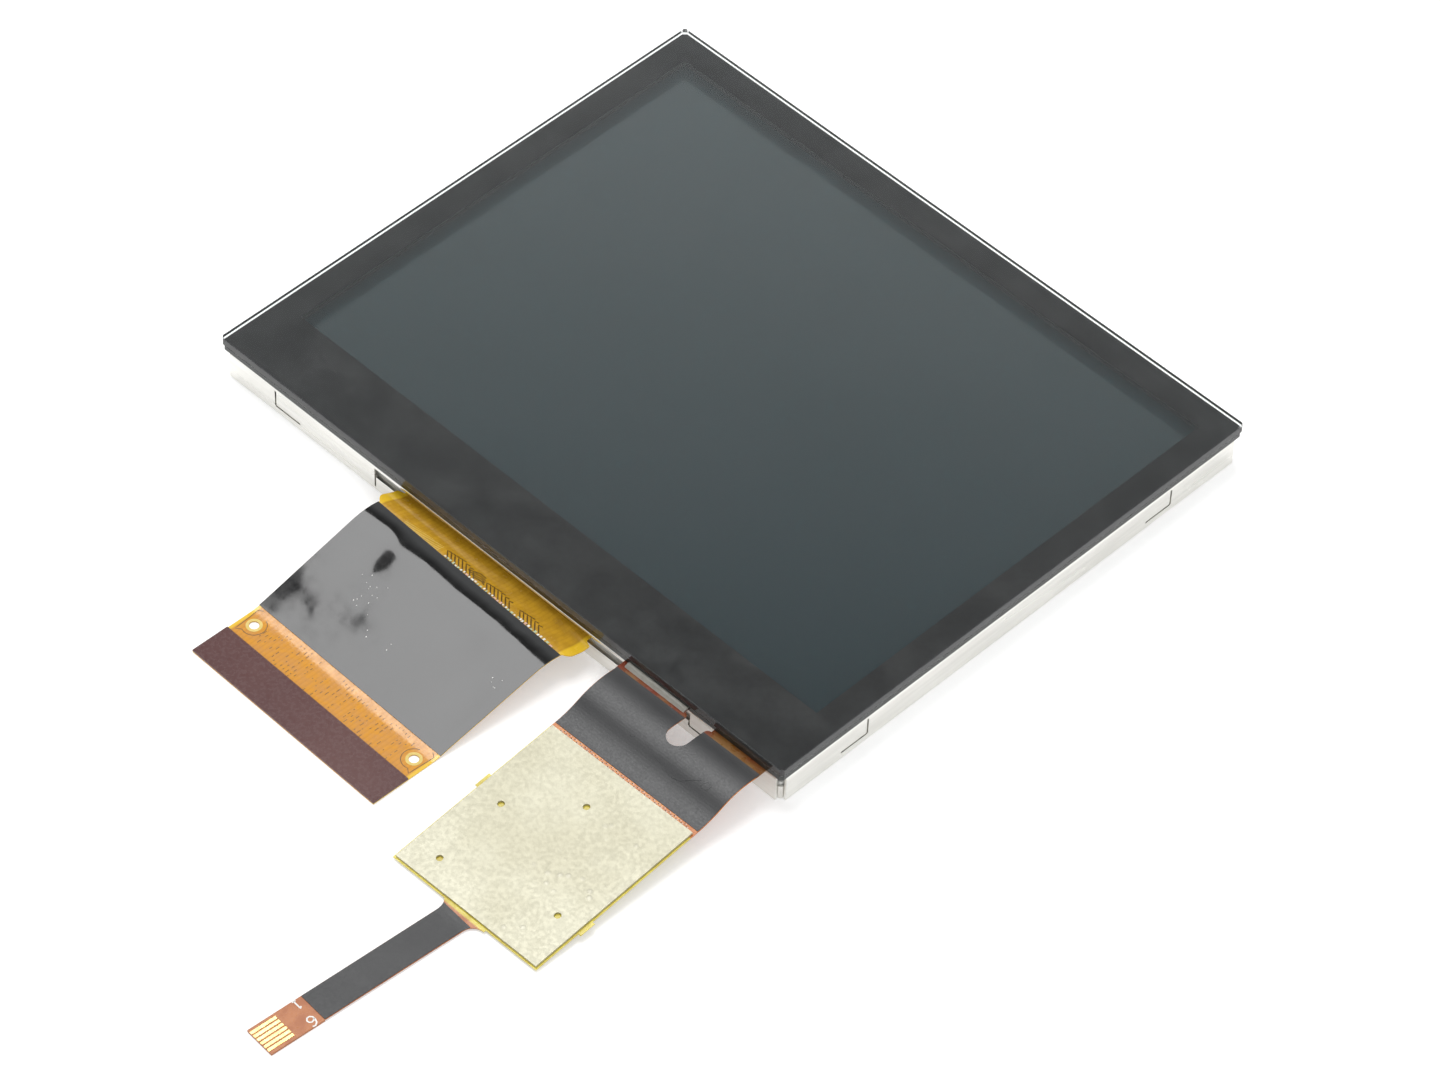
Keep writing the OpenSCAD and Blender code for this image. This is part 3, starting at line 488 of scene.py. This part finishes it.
def ring_data(sheet, x, s, inner, outer, low, high, n):
    verts = [sheet.at(x + c * r, s + e * r, d)
             for d in (low, high) for r in (inner, outer) for c, e in circle(n)]
    faces = []
    for k in range(n):
        m = (k + 1) % n
        faces += [(k, m, n + m, n + k), (2 * n + k, 3 * n + k, 3 * n + m, 2 * n + m),
                  (n + k, n + m, 3 * n + m, 3 * n + k), (k, 2 * n + k, 2 * n + m, m)]
    return verts, faces


# ---------------------------------------------------------------- materials
def material(name, shade):
    """A new material whose Principled shader is set up by shade(tree, shader)."""
    made = bpy.data.materials.new(name)
    t = Tree(made)
    shader = t.add("ShaderNodeBsdfPrincipled")
    t.surface(shader.outputs[0])
    shade(t, shader)
    return made


def plain(name, colour, colour2, rough=(0.4, 0.5), metallic=0.0, scale=900.0, bump=0.15, depth=0.00002,
          stretch=(1, 1, 1)):
    """Two close colours mottled by noise, with uneven roughness and a fine bump."""
    def shade(t, s):
        v = t.coords(stretch)
        grain = t.noise(v, scale, 4)
        cloud = t.noise(v, scale * 0.17, 2)
        t.put(s, "Base Color", t.mix(t.ramp(grain, 0.3, 0.7), colour, colour2))
        t.put(s, "Roughness", t.ramp(cloud, 0.3, 0.7, rough[0], rough[1]))
        s.inputs["Metallic"].default_value = metallic
        t.put(s, "Normal", t.bump(grain, bump, depth))
    return material(name, shade)


def glass_shade(t, s):
    """Clear glass, a little uneven."""
    smudge = t.noise(t.coords(), 350, 2)
    tint = t.noise(t.coords(), 40, 2)
    t.put(s, "Roughness", t.ramp(smudge, 0.45, 0.75, 0.004, 0.012))
    t.put(s, "Base Color", t.mix(t.ramp(tint, 0.3, 0.7), (0.93, 0.96, 0.95, 1), (0.96, 0.98, 0.97, 1)))
    s.inputs["Transmission Weight"].default_value = 1.0
    s.inputs["IOR"].default_value = 1.5


def film_shade(t, s):
    """Glossy black cover film with fine wrinkles."""
    v = t.coords()
    wave = t.noise(v, 160, 2, 0.4)
    fine = t.noise(v, 900, 3)
    t.put(s, "Base Color", t.mix(t.ramp(fine, 0.3, 0.7), (0.010, 0.010, 0.010, 1), (0.014, 0.014, 0.014, 1)))
    t.put(s, "Roughness", t.ramp(fine, 0.3, 0.7, 0.05, 0.09))
    t.put(s, "Normal", t.bump(fine, 0.05, 0.00002, t.bump(wave, 0.30, 0.00025)))


def leg_shade(t, s):
    """Satin black film of the touch flex."""
    v = t.coords()
    wave = t.noise(v, 220, 2, 0.4)
    fine = t.noise(v, 5000, 3)
    t.put(s, "Base Color", t.mix(t.ramp(wave, 0.3, 0.7), (0.020, 0.020, 0.021, 1), (0.027, 0.027, 0.028, 1)))
    t.put(s, "Roughness", t.ramp(fine, 0.3, 0.7, 0.34, 0.44))
    t.put(s, "Normal", t.bump(fine, 0.10, 0.00001, t.bump(wave, 0.15, 0.00012)))


def plate_shade(t, s):
    """Satin stiffener plate, dimpled towards its right and far side."""
    v = t.coords()
    fine = t.noise(v, 2600, 3)
    cloud = t.noise(v, 120, 3)
    cells = t.add("ShaderNodeTexVoronoi", feature="F1")
    t.link(v, cells.inputs["Vector"])
    cells.inputs["Scale"].default_value = 900
    dots = t.ramp(cells.outputs["Distance"], 0.10, 0.34, 1.0, 0.0)
    patches = t.ramp(t.noise(v, 190, 2), 0.46, 0.62)
    place = t.axes(t.add("ShaderNodeNewGeometry").outputs["Position"])
    side = t.ramp(t.math("SUBTRACT", place["X"], t.math("MULTIPLY", place["Y"], 0.25)), 0.036, 0.047)
    dimples = t.math("MULTIPLY", t.math("MULTIPLY", dots, patches), side)
    colour = t.mix(t.ramp(cloud, 0.3, 0.7), rgb(190, 187, 167), rgb(178, 174, 152))
    colour = t.mix(t.math("MULTIPLY", dimples, 0.35), colour, rgb(205, 202, 190))
    t.put(s, "Base Color", colour)
    t.put(s, "Roughness", t.ramp(fine, 0.3, 0.7, 0.40, 0.52))
    s.inputs["Metallic"].default_value = 0.35
    t.put(s, "Normal", t.bump(fine, 0.10, 0.00001, t.bump(dimples, 0.5, 0.00006)))


def main_flex_shade(t, s):
    """Amber film over copper: olive near the module, deeper at the band, and pale yellow at the bare edges,
    partly the film's own colour without copper and partly painted light shining through from beneath.
    """
    trace_pitch = 0.5
    place = t.axes(t.add("ShaderNodeTexCoord").outputs["UV"])
    across, along = place["X"], place["Y"]
    v = t.coords((1, 1, 1), True)
    grain = t.noise(v, 0.9, 4)
    lines = t.add("ShaderNodeTexWave", wave_type="BANDS", bands_direction="X", wave_profile="SIN")
    t.link(v, lines.inputs["Vector"])
    lines.inputs["Scale"].default_value = math.pi / 10 / trace_pitch
    lines.inputs["Distortion"].default_value = 0.3
    band = t.mix(t.ramp(grain, 0.3, 0.7), rgb(212, 146, 38), rgb(196, 132, 34))
    olive = t.mix(t.ramp(grain, 0.3, 0.7), rgb(198, 152, 42), rgb(178, 134, 32))
    colour = t.mix(t.ramp(along, MAIN_OUT + 6, MAIN_OUT + 9, 1.0, 0.0), band, olive)
    shown = t.math("MULTIPLY", t.ramp(lines.outputs["Fac"], 0.55, 0.95), 0.16)
    colour = t.mix(shown, colour, rgb(150, 92, 22))
    # Pale yellow at the bare edges: partly the film without copper, partly painted light for the pale floor
    # and frame showing through it.
    colour = t.mix(t.ramp(t.math("ABSOLUTE", across), 12.25, 12.55), colour, rgb(226, 184, 44))
    t.put(s, "Base Color", colour)
    t.put(s, "Roughness", t.ramp(grain, 0.3, 0.7, 0.16, 0.28))
    s.inputs["Coat Weight"].default_value = 0.3
    s.inputs["Coat Roughness"].default_value = 0.08
    t.put(s, "Normal", t.bump(lines.outputs["Fac"], 0.12, 0.00002))


def stiffener_shade(t, s):
    """Dark red board."""
    v = t.coords()
    cloud = t.noise(v, 90, 2)
    fine = t.noise(v, 2600, 3)
    t.put(s, "Base Color", t.mix(t.ramp(cloud, 0.3, 0.7), rgb(84, 44, 40), rgb(74, 30, 28)))
    t.put(s, "Roughness", t.ramp(fine, 0.3, 0.7, 0.22, 0.3))
    t.put(s, "Normal", t.bump(fine, 0.06, 0.00001))


def backing_shade(t, s):
    """Orange backing under the touch tail's end."""
    grain = t.noise(t.coords(), 700, 3)
    t.put(s, "Base Color", t.mix(t.ramp(grain, 0.3, 0.7), rgb(176, 104, 46), rgb(160, 88, 38)))
    t.put(s, "Roughness", t.ramp(grain, 0.3, 0.7, 0.22, 0.34))
    t.put(s, "Normal", t.bump(grain, 0.1, 0.00001))


def touch_flex_shade(t, s):
    """Orange film: brown painted shade at the legs' root under the glass, yellow on the board and
    orange-brown on the tail.
    """
    shaded_root_y, board_y, tail_y = -0.0332, -0.04175, -0.0621        # where each colour gives way, in metres
    blend = 0.0001
    v = t.coords()
    y = t.axes(t.add("ShaderNodeNewGeometry").outputs["Position"])["Y"]
    grain = t.noise(v, 800, 3)
    orange = t.mix(t.ramp(grain, 0.3, 0.7), rgb(206, 128, 44), rgb(186, 104, 36))
    yellow = t.mix(t.ramp(grain, 0.3, 0.7), rgb(212, 196, 66), rgb(196, 176, 52))
    # Painted shade: the bare film at the legs' root, under the glass edge, is coloured dark brown for the
    # shade it lies in.
    root_shade_brown = t.mix(t.ramp(t.noise(v, 260, 2), 0.35, 0.65), rgb(120, 84, 26), rgb(112, 44, 18))
    tail_brown = t.mix(t.ramp(grain, 0.3, 0.7), rgb(178, 106, 48), rgb(162, 90, 40))
    colour = t.mix(t.ramp(y, board_y - blend, board_y + blend, 1.0, 0.0, False), orange, yellow)
    # The brown painted shade takes over past the root's line, under the glass.
    colour = t.mix(t.ramp(y, shaded_root_y - blend, shaded_root_y + blend, 0.0, 1.0, False), colour, root_shade_brown)
    colour = t.mix(t.ramp(y, tail_y - blend, tail_y + blend, 1.0, 0.0, False), colour, tail_brown)
    t.put(s, "Base Color", colour)
    t.put(s, "Roughness", t.ramp(grain, 0.3, 0.7, 0.22, 0.34))
    t.put(s, "Normal", t.bump(grain, 0.1, 0.00001))


GLASS = material("cover_glass_clear", glass_shade)
INK = plain("ink_black", (0.006, 0.006, 0.006, 1), (0.010, 0.010, 0.011, 1), (0.45, 0.6), scale=1500,
            bump=0.05)
# Painted shade: the clear sensor glass is drawn near black for its edge, which lies in shade under the
# border.
SENSOR_SHADE = plain("sensor_edge_shade", (0.012, 0.014, 0.013, 1), (0.028, 0.032, 0.030, 1), (0.10, 0.22), scale=700,
               bump=0.1)
STEEL = plain("bezel_steel", (0.76, 0.75, 0.71, 1), (0.84, 0.83, 0.79, 1), (0.22, 0.34), 1.0, 500, 0.12,
              0.00001, (0.25, 0.25, 3))
COVER_STEEL = plain("cover_steel", (0.70, 0.69, 0.65, 1), (0.78, 0.77, 0.73, 1), (0.26, 0.38), 1.0, 450, 0.12,
                    0.00001, (0.25, 1, 1))
FOAM = plain("foam_black", (0.010, 0.010, 0.010, 1), (0.03, 0.03, 0.03, 1), (0.8, 0.95), scale=6000, bump=0.5)
POLARIZER = plain("polarizer_grey", (0.020, 0.040, 0.048, 1), (0.024, 0.045, 0.053, 1), (0.05, 0.09),
                  scale=5000, bump=0.04, depth=0.000004)
CELL = plain("cell_glass", (0.10, 0.13, 0.13, 1), (0.13, 0.16, 0.16, 1), (0.05, 0.1), scale=300, bump=0.02)
SILICON = plain("chip_silicon", (0.02, 0.02, 0.026, 1), (0.03, 0.03, 0.04, 1), (0.12, 0.2), 0.3, 2500, 0.1)
TAPE = plain("rim_tape", (0.012, 0.012, 0.012, 1), (0.02, 0.02, 0.02, 1), (0.5, 0.6), scale=3000)
DIFFUSER = plain("diffuser_film", (0.85, 0.85, 0.84, 1), (0.9, 0.9, 0.89, 1), (0.5, 0.65), scale=7000)
PRISM = plain("prism_film", (0.70, 0.73, 0.76, 1), (0.8, 0.83, 0.85, 1), (0.15, 0.25), scale=9000, bump=0.4,
              stretch=(1, 0.02, 1))
GUIDE = plain("guide_acrylic", (0.62, 0.76, 0.80, 1), (0.7, 0.82, 0.85, 1), (0.06, 0.12), scale=1800)
REFLECTOR = plain("reflector_film", (0.9, 0.9, 0.9, 1), (0.95, 0.95, 0.95, 1), (0.1, 0.2), scale=1200)
MOULDED = plain("frame_plastic", (0.78, 0.78, 0.75, 1), (0.84, 0.84, 0.81, 1), (0.45, 0.55), scale=4000)
LED = plain("led_body", (0.85, 0.80, 0.50, 1), (0.9, 0.87, 0.62, 1), (0.4, 0.5), scale=3000)
AMBER = plain("flex_amber", (0.42, 0.21, 0.015, 1), (0.50, 0.26, 0.02, 1), (0.16, 0.3), scale=900, bump=0.1)
GOLD = plain("contact_gold", (0.80, 0.55, 0.18, 1), (0.90, 0.66, 0.26, 1), (0.2, 0.32), 1.0, 2500)
TRACE = plain("trace_dark", (0.07, 0.035, 0.004, 1), (0.11, 0.06, 0.006, 1), (0.3, 0.4), scale=2500)
PADS = {"white": plain("pad_white", (0.70, 0.68, 0.60, 1), (0.85, 0.84, 0.78, 1), (0.35, 0.5), scale=4000),
        "pink": plain("pad_pink", (0.60, 0.36, 0.28, 1), (0.72, 0.46, 0.36, 1), (0.35, 0.5), scale=4000),
        "green": plain("pad_green", (0.42, 0.50, 0.34, 1), (0.50, 0.58, 0.40, 1), (0.35, 0.5), scale=4000)}
PACKAGE = plain("chip_package", (0.014, 0.014, 0.015, 1), (0.022, 0.022, 0.023, 1), (0.45, 0.6), scale=6000)
CERAMIC = plain("capacitor_body", (0.34, 0.22, 0.13, 1), (0.40, 0.27, 0.17, 1), (0.4, 0.5), scale=5000)
RESISTOR = plain("resistor_body", (0.015, 0.015, 0.015, 1), (0.03, 0.03, 0.03, 1), (0.35, 0.5), scale=5000)
SEALANT = plain("sealant_grey", (0.22, 0.21, 0.18, 1), (0.27, 0.26, 0.23, 1), (0.25, 0.35), scale=1500,
                bump=0.2)
WHITE = plain("legend_white", (0.75, 0.75, 0.72, 1), (0.85, 0.85, 0.82, 1), (0.45, 0.55), scale=5000)
YELLOW = plain("hole_rim", (0.62, 0.46, 0.10, 1), (0.72, 0.55, 0.16, 1), (0.25, 0.35), scale=3000)
FILM = material("cover_film_glossy", film_shade)
LEG_FILM = material("leg_film_satin", leg_shade)
PLATE = material("plate_satin", plate_shade)
MAIN_FLEX = material("main_flex_amber", main_flex_shade)
STIFFENER = material("stiffener_red", stiffener_shade)
BACKING = material("touch_flex_orange", backing_shade)
TOUCH_FLEX = material("touch_flex_film", touch_flex_shade)

LOOKS = {
    "cover_glass": GLASS, "cover_print": INK, "optical_adhesive": INK, "sensor_glass": SENSOR_SHADE,
    "panel_gasket": FOAM, "front_bezel": STEEL, "cell_cushion": FOAM, "upper_polarizer": POLARIZER,
    "filter_glass": CELL, "tft_glass": CELL, "lower_polarizer": POLARIZER, "driver_chip": SILICON,
    "rim_tape": TAPE, "upper_diffuser": DIFFUSER, "upper_prism_film": PRISM, "lower_prism_film": PRISM,
    "lower_diffuser": DIFFUSER, "light_guide": GUIDE, "reflector_film": REFLECTOR,
    "moulded_frame": MOULDED, "led_strip": AMBER, "leds": LED, "rear_cover": COVER_STEEL,
    "main_flex": AMBER, "main_cover_film": FILM, "main_stiffener": STIFFENER, "main_contacts": GOLD,
    "touch_flex": TOUCH_FLEX, "leg_cover_film": LEG_FILM, "board_stiffener": PLATE,
    "touch_controller": PACKAGE, "touch_capacitors": CERAMIC, "touch_resistors": RESISTOR,
    "tail_cover_film": LEG_FILM, "tail_backing": BACKING, "tail_contacts": GOLD, "sealing_bead": SEALANT,
}


def dress_nodes():
    for name, node in nodes.items():
        node.data.materials.clear()
        node.data.materials.append(LOOKS[name])


# ---------------------------------------------------------------- touch panel
def window_plate(half_x, half_y, low, high):
    """A plate with clipped corners and the window of the black border."""
    left, right = POLARIZER_LOW.x + WINDOW_INSET, POLARIZER_HIGH.x - WINDOW_INSET
    foot, top = POLARIZER_LOW.y + WINDOW_INSET, POLARIZER_HIGH.y - WINDOW_INSET
    clip = GLASS_CLIP
    ring = [(-half_x + clip, -half_y), (half_x - clip, -half_y), (half_x, -half_y + clip),
            (half_x, half_y - clip), (half_x - clip, half_y), (-half_x + clip, half_y),
            (-half_x, half_y - clip), (-half_x, -half_y + clip)]
    ring += [(left, foot), (right, foot), (right, top), (left, top)]
    verts = [(x, y, z) for z in (low, high) for x, y in ring]
    flat = []
    for k in range(4):
        a, b, corner = 2 * k, 2 * k + 1, 8 + (k + 1) % 4
        flat += [(a, b, corner, 8 + k), (b, (b + 1) % 8, corner)]
    n = len(ring)
    faces = flat + [tuple(n + i for i in reversed(face)) for face in flat]
    faces += [(k, (k + 1) % 8, n + (k + 1) % 8, n + k) for k in range(8)]
    faces += [(8 + k, 8 + (k + 1) % 4, n + 8 + (k + 1) % 4, n + 8 + k) for k in range(4)]
    return verts, faces


def touch_panel():
    """The ink, set a hair into the cover glass so that no air shows between them, and the sensor's rim, drawn
    near black as painted shade.
    """
    rim_past_print, bite = 0.1, 0.015
    data = window_plate(PRINT_HIGH.x + rim_past_print, PRINT_HIGH.y + rim_past_print, SENSOR_HIGH.z,
                        GLASS_LOW.z + bite)
    ink = piece("cover_print_ink", data, INK)
    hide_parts("cover_print", "optical_adhesive")
    data = window_plate(SENSOR_HIGH.x, SENSOR_HIGH.y, SENSOR_LOW.z, SENSOR_HIGH.z)
    # The sensor's rim takes the near-black painted shade.
    rim = piece("sensor_glass_rim", data, SENSOR_SHADE)
    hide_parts("sensor_glass")


# ---------------------------------------------------------------- main flex
def main_half(s):
    """Half the flex's width at s: wider at the ears, whose outer corners are rounded."""
    u = s - MAIN_OUT
    wing = EAR_HALF - MAIN_HALF
    if u < EAR_START:
        return MAIN_HALF + wing * max(0.0, u / EAR_START)
    if u < EAR_L - EAR_R:
        return EAR_HALF
    if u < EAR_L:
        return MAIN_HALF + wing * math.sqrt(max(0.0, 1 - ((u - EAR_L + EAR_R) / EAR_R) ** 2))
    return MAIN_HALF


def cut_holes(flex):
    """Cuts the two round locating holes straight down through the flex."""
    sides, reach = 32, 2.0
    parts = []
    for x, s in HOLES:
        cx, cy, cz = main.at(x, s)
        verts = [(cx + HOLE_R * c, cy + HOLE_R * e, z)
                 for z in (cz - reach, cz + reach) for c, e in circle(sides)]
        foot, top, *walls = prism_faces(sides)
        parts.append((verts, [foot[::-1], top[::-1]] + walls))
    verts, faces = join_data(parts)
    mesh = bpy.data.meshes.new("cutter")
    mesh.from_pydata([tuple(c * MM for c in v) for v in verts], [], faces)
    cutter = bpy.data.objects.new("cutter", mesh)
    bpy.context.scene.collection.objects.link(cutter)
    cut = flex.modifiers.new("holes", "BOOLEAN")
    cut.operation, cut.solver, cut.object = "DIFFERENCE", "EXACT", cutter
    bpy.context.view_layer.update()
    result = bpy.data.meshes.new_from_object(flex.evaluated_get(bpy.context.evaluated_depsgraph_get()))
    flex.modifiers.clear()
    flex.data = result
    bpy.data.objects.remove(cutter)


def main_flex():
    flex = grid_piece("main_flex_film", main, 0.0, MAIN_END, main_half, 0.0, FLEX_T, MAIN_FLEX,
                      54, 120)
    cut_holes(flex)
    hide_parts("main_flex")
    film = grid_piece("main_black_film", main, FILM_START, FILM_END, lambda s: MAIN_HALF, FLEX_T,
                      FLEX_T + FILM_T, FILM, 110, 80)
    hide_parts("main_cover_film")


def window_traces():
    """Dark gaps between the traces beside the bezel, and fine light traces in the plain third."""
    edge = FILM_START + 0.1
    traces = []
    for first, count in ((-2.9, 8), (2.6, 7), (7.2, 6)):
        for k in range(count):
            x = first + k * 0.52
            run = 1.45 - 0.09 * abs(k - count / 2)
            traces.append([(x, edge), (x - 0.25, edge - 0.25), (x - run, edge - run),
                           (x - run + 0.42, edge - run - 0.14)])
    for k in range(4):
        traces.append([(-0.9 + 0.33 * k, edge - 0.9 + 0.1 * k), (0.2 + 0.3 * k, edge - 1.6 + 0.25 * k),
                       (0.95 + 0.2 * k, edge - 1.55 + 0.3 * k)])
    data = join_data([strip_data(main, t, 0.13, FLEX_T, FLEX_T + 0.012, 0.3) for t in traces])
    piece("window_traces", data, TRACE)
    fine = [[(-9.2 + 0.2 * k, edge), (-9.2 + 0.2 * k, edge - 0.7 - 0.02 * k)] for k in range(24)]
    data = join_data([strip_data(main, t, 0.05, FLEX_T, FLEX_T + 0.008) for t in fine])
    piece("window_fine_traces", data, YELLOW)


def window_pads():
    """Small pale pads along the edge of the black film."""
    rows = {name: [] for name in PADS}
    x = -3.6
    while x < 11.6:
        width = rnd.uniform(0.14, 0.34)
        s = FILM_START - 0.18 + rnd.uniform(-0.06, 0.10)
        row = rnd.choice(("white", "white", "white", "pink", "green"))
        height = rnd.uniform(0.16, 0.34)
        rows[row].append(strip_data(main, [(x, s), (x + width, s)], height, FLEX_T, FLEX_T + 0.02))
        x += width + rnd.uniform(0.10, 0.26)
    for name, row in rows.items():
        piece("window_pads_" + name, join_data(row), PADS[name])


def main_band():
    """The bare band: short dark dashes between the traces, and a rim and a loop at each hole."""
    high = FLEX_T + 0.006
    dashes = []
    for k in range(44):
        x = -9.9 + 0.46 * k
        s = FILM_END + 0.25 + rnd.uniform(0, 0.5)
        while s < STIFFENER_START - 0.3:
            length = rnd.uniform(0.12, 0.5)
            if rnd.random() < 0.45:
                end = min(s + length, STIFFENER_START - 0.1)
                dashes.append(strip_data(main, [(x, s), (x, end)], 0.06, FLEX_T, high))
            s += length + rnd.uniform(0.15, 0.6)
    piece("band_dashes", join_data(dashes), TRACE)
    rims = [ring_data(main, x, s, 0.52, 0.82, FLEX_T, FLEX_T + 0.015, 28) for x, s in HOLES]
    piece("hole_rims", join_data(rims), YELLOW)
    loops = []
    for side, (x, s) in zip((-1, 1), HOLES):
        turn = [math.radians(d) for d in range(-70, 111, 15)]
        loop = [(x - side * 1.25 * math.cos(a), s + 1.25 * math.sin(a)) for a in turn]
        loop += [(side * 12.2, s + 1.55), (side * 12.4, FILM_END + 0.5), (side * 11.9, FILM_END + 0.2)]
        loops.append(strip_data(main, loop, 0.07, FLEX_T, high))
    piece("band_loops", join_data(loops), TRACE)


def film_specks():
    """Specks of dust on the black film, in a few loose groups."""
    top = FLEX_T + FILM_T
    groups = ((-6.2, 10.5, 9, 2.4, 1.0), (-4.6, 12.6, 7, 1.6, 0.8), (-1.2, 14.2, 4, 1.6, 0.6),
              (10.6, 9.8, 5, 0.6, 0.8))
    specks = []
    for x, u, count, reach_x, reach_u in groups:
        for _ in range(count):
            r = rnd.uniform(0.03, 0.07)
            speck_x = x + rnd.uniform(-reach_x, reach_x)
            speck_s = MAIN_OUT + u + rnd.uniform(-reach_u, reach_u)
            specks.append(disc_data(main, speck_x, speck_s, r, top, top + 0.01 + r * 0.5, 7))
    piece("film_specks", join_data(specks), WHITE)


# ---------------------------------------------------------------- touch flex
def board_strip():
    """Two staggered rows of small dots on the bare strip beside the board's plate."""
    pitch = 0.34
    dots = [disc_data(touch, -8.4 + pitch * k, BOARD + 0.14 + 0.16 * (k % 2), 0.075, FLEX_T, FLEX_T + 0.03, 8)
            for k in range(50)]
    piece("strip_dots", join_data(dots), PADS["pink"])
    dots = [disc_data(touch, -8.2 + pitch * k, BOARD + 0.30 - 0.14 * (k % 2), 0.06, FLEX_T, FLEX_T + 0.025, 8)
            for k in range(49)]
    piece("strip_holes", join_data(dots), TRACE)


def leg_ridges():
    """Traces that show through the black film as low ridges, as places across and before the board."""
    lines = (
        [(-1.2, 3.9), (0.6, 3.3), (1.9, 3.1), (3.2, 2.7), (4.2, 2.9), (5.0, 3.6), (5.9, 4.2), (6.2, 3.7)],
        [(6.3, 3.6), (6.9, 3.7), (7.0, 4.3), (6.5, 4.5), (6.2, 4.1)],
        [(-2.9, 3.5), (-2.3, 3.6)],
    )
    top = FLEX_T + LEG_FILM_T
    ridges = [strip_data(touch, [(x, BOARD - before) for x, before in line], 0.14, top, top + 0.022, 0.3)
              for line in lines]
    piece("leg_ridges", join_data(ridges), LEG_FILM, True)


SIX = [[(0.30, -0.45), (0.05, -0.5), (-0.22, -0.3), (-0.32, 0.05), (-0.3, 0.32), (-0.1, 0.5), (0.14, 0.48),
        (0.3, 0.28), (0.26, 0.06), (0.08, -0.06), (-0.14, -0.02), (-0.3, 0.16)]]
ONE = [[(0.0, 0.5), (0.0, -0.5), (-0.2, -0.32)], [(-0.2, 0.5), (0.2, 0.5)]]


def digit(lines, x, s, size):
    """A digit's strokes on the touch tail, a quarter turn round from its points of (a, b)."""
    places = [[(x - b * size, s + a * size) for a, b in line] for line in lines]
    return [strip_data(tail, line, 0.15, FLEX_T, FLEX_T + 0.015, 0.1) for line in places]


def pin_digits():
    """The numbers of the two outer contacts."""
    piece("pin_digits", join_data(digit(ONE, -1.15, 18.2, 1.0) + digit(SIX, 1.15, 18.3, 1.15)), WHITE)


# ---------------------------------------------------------------- scene
camera()
studio_world()
lamp("key_lamp", (-0.25, 0.10, 0.75), 0.45, 3.2)
lamp("fill_lamp", (0.55, -0.45, 0.50), 0.50, 1.2)
floor()
dress_nodes()
touch_panel()
main_flex()
window_traces()
window_pads()
main_band()
film_specks()
board_strip()
leg_ridges()
pin_digits()
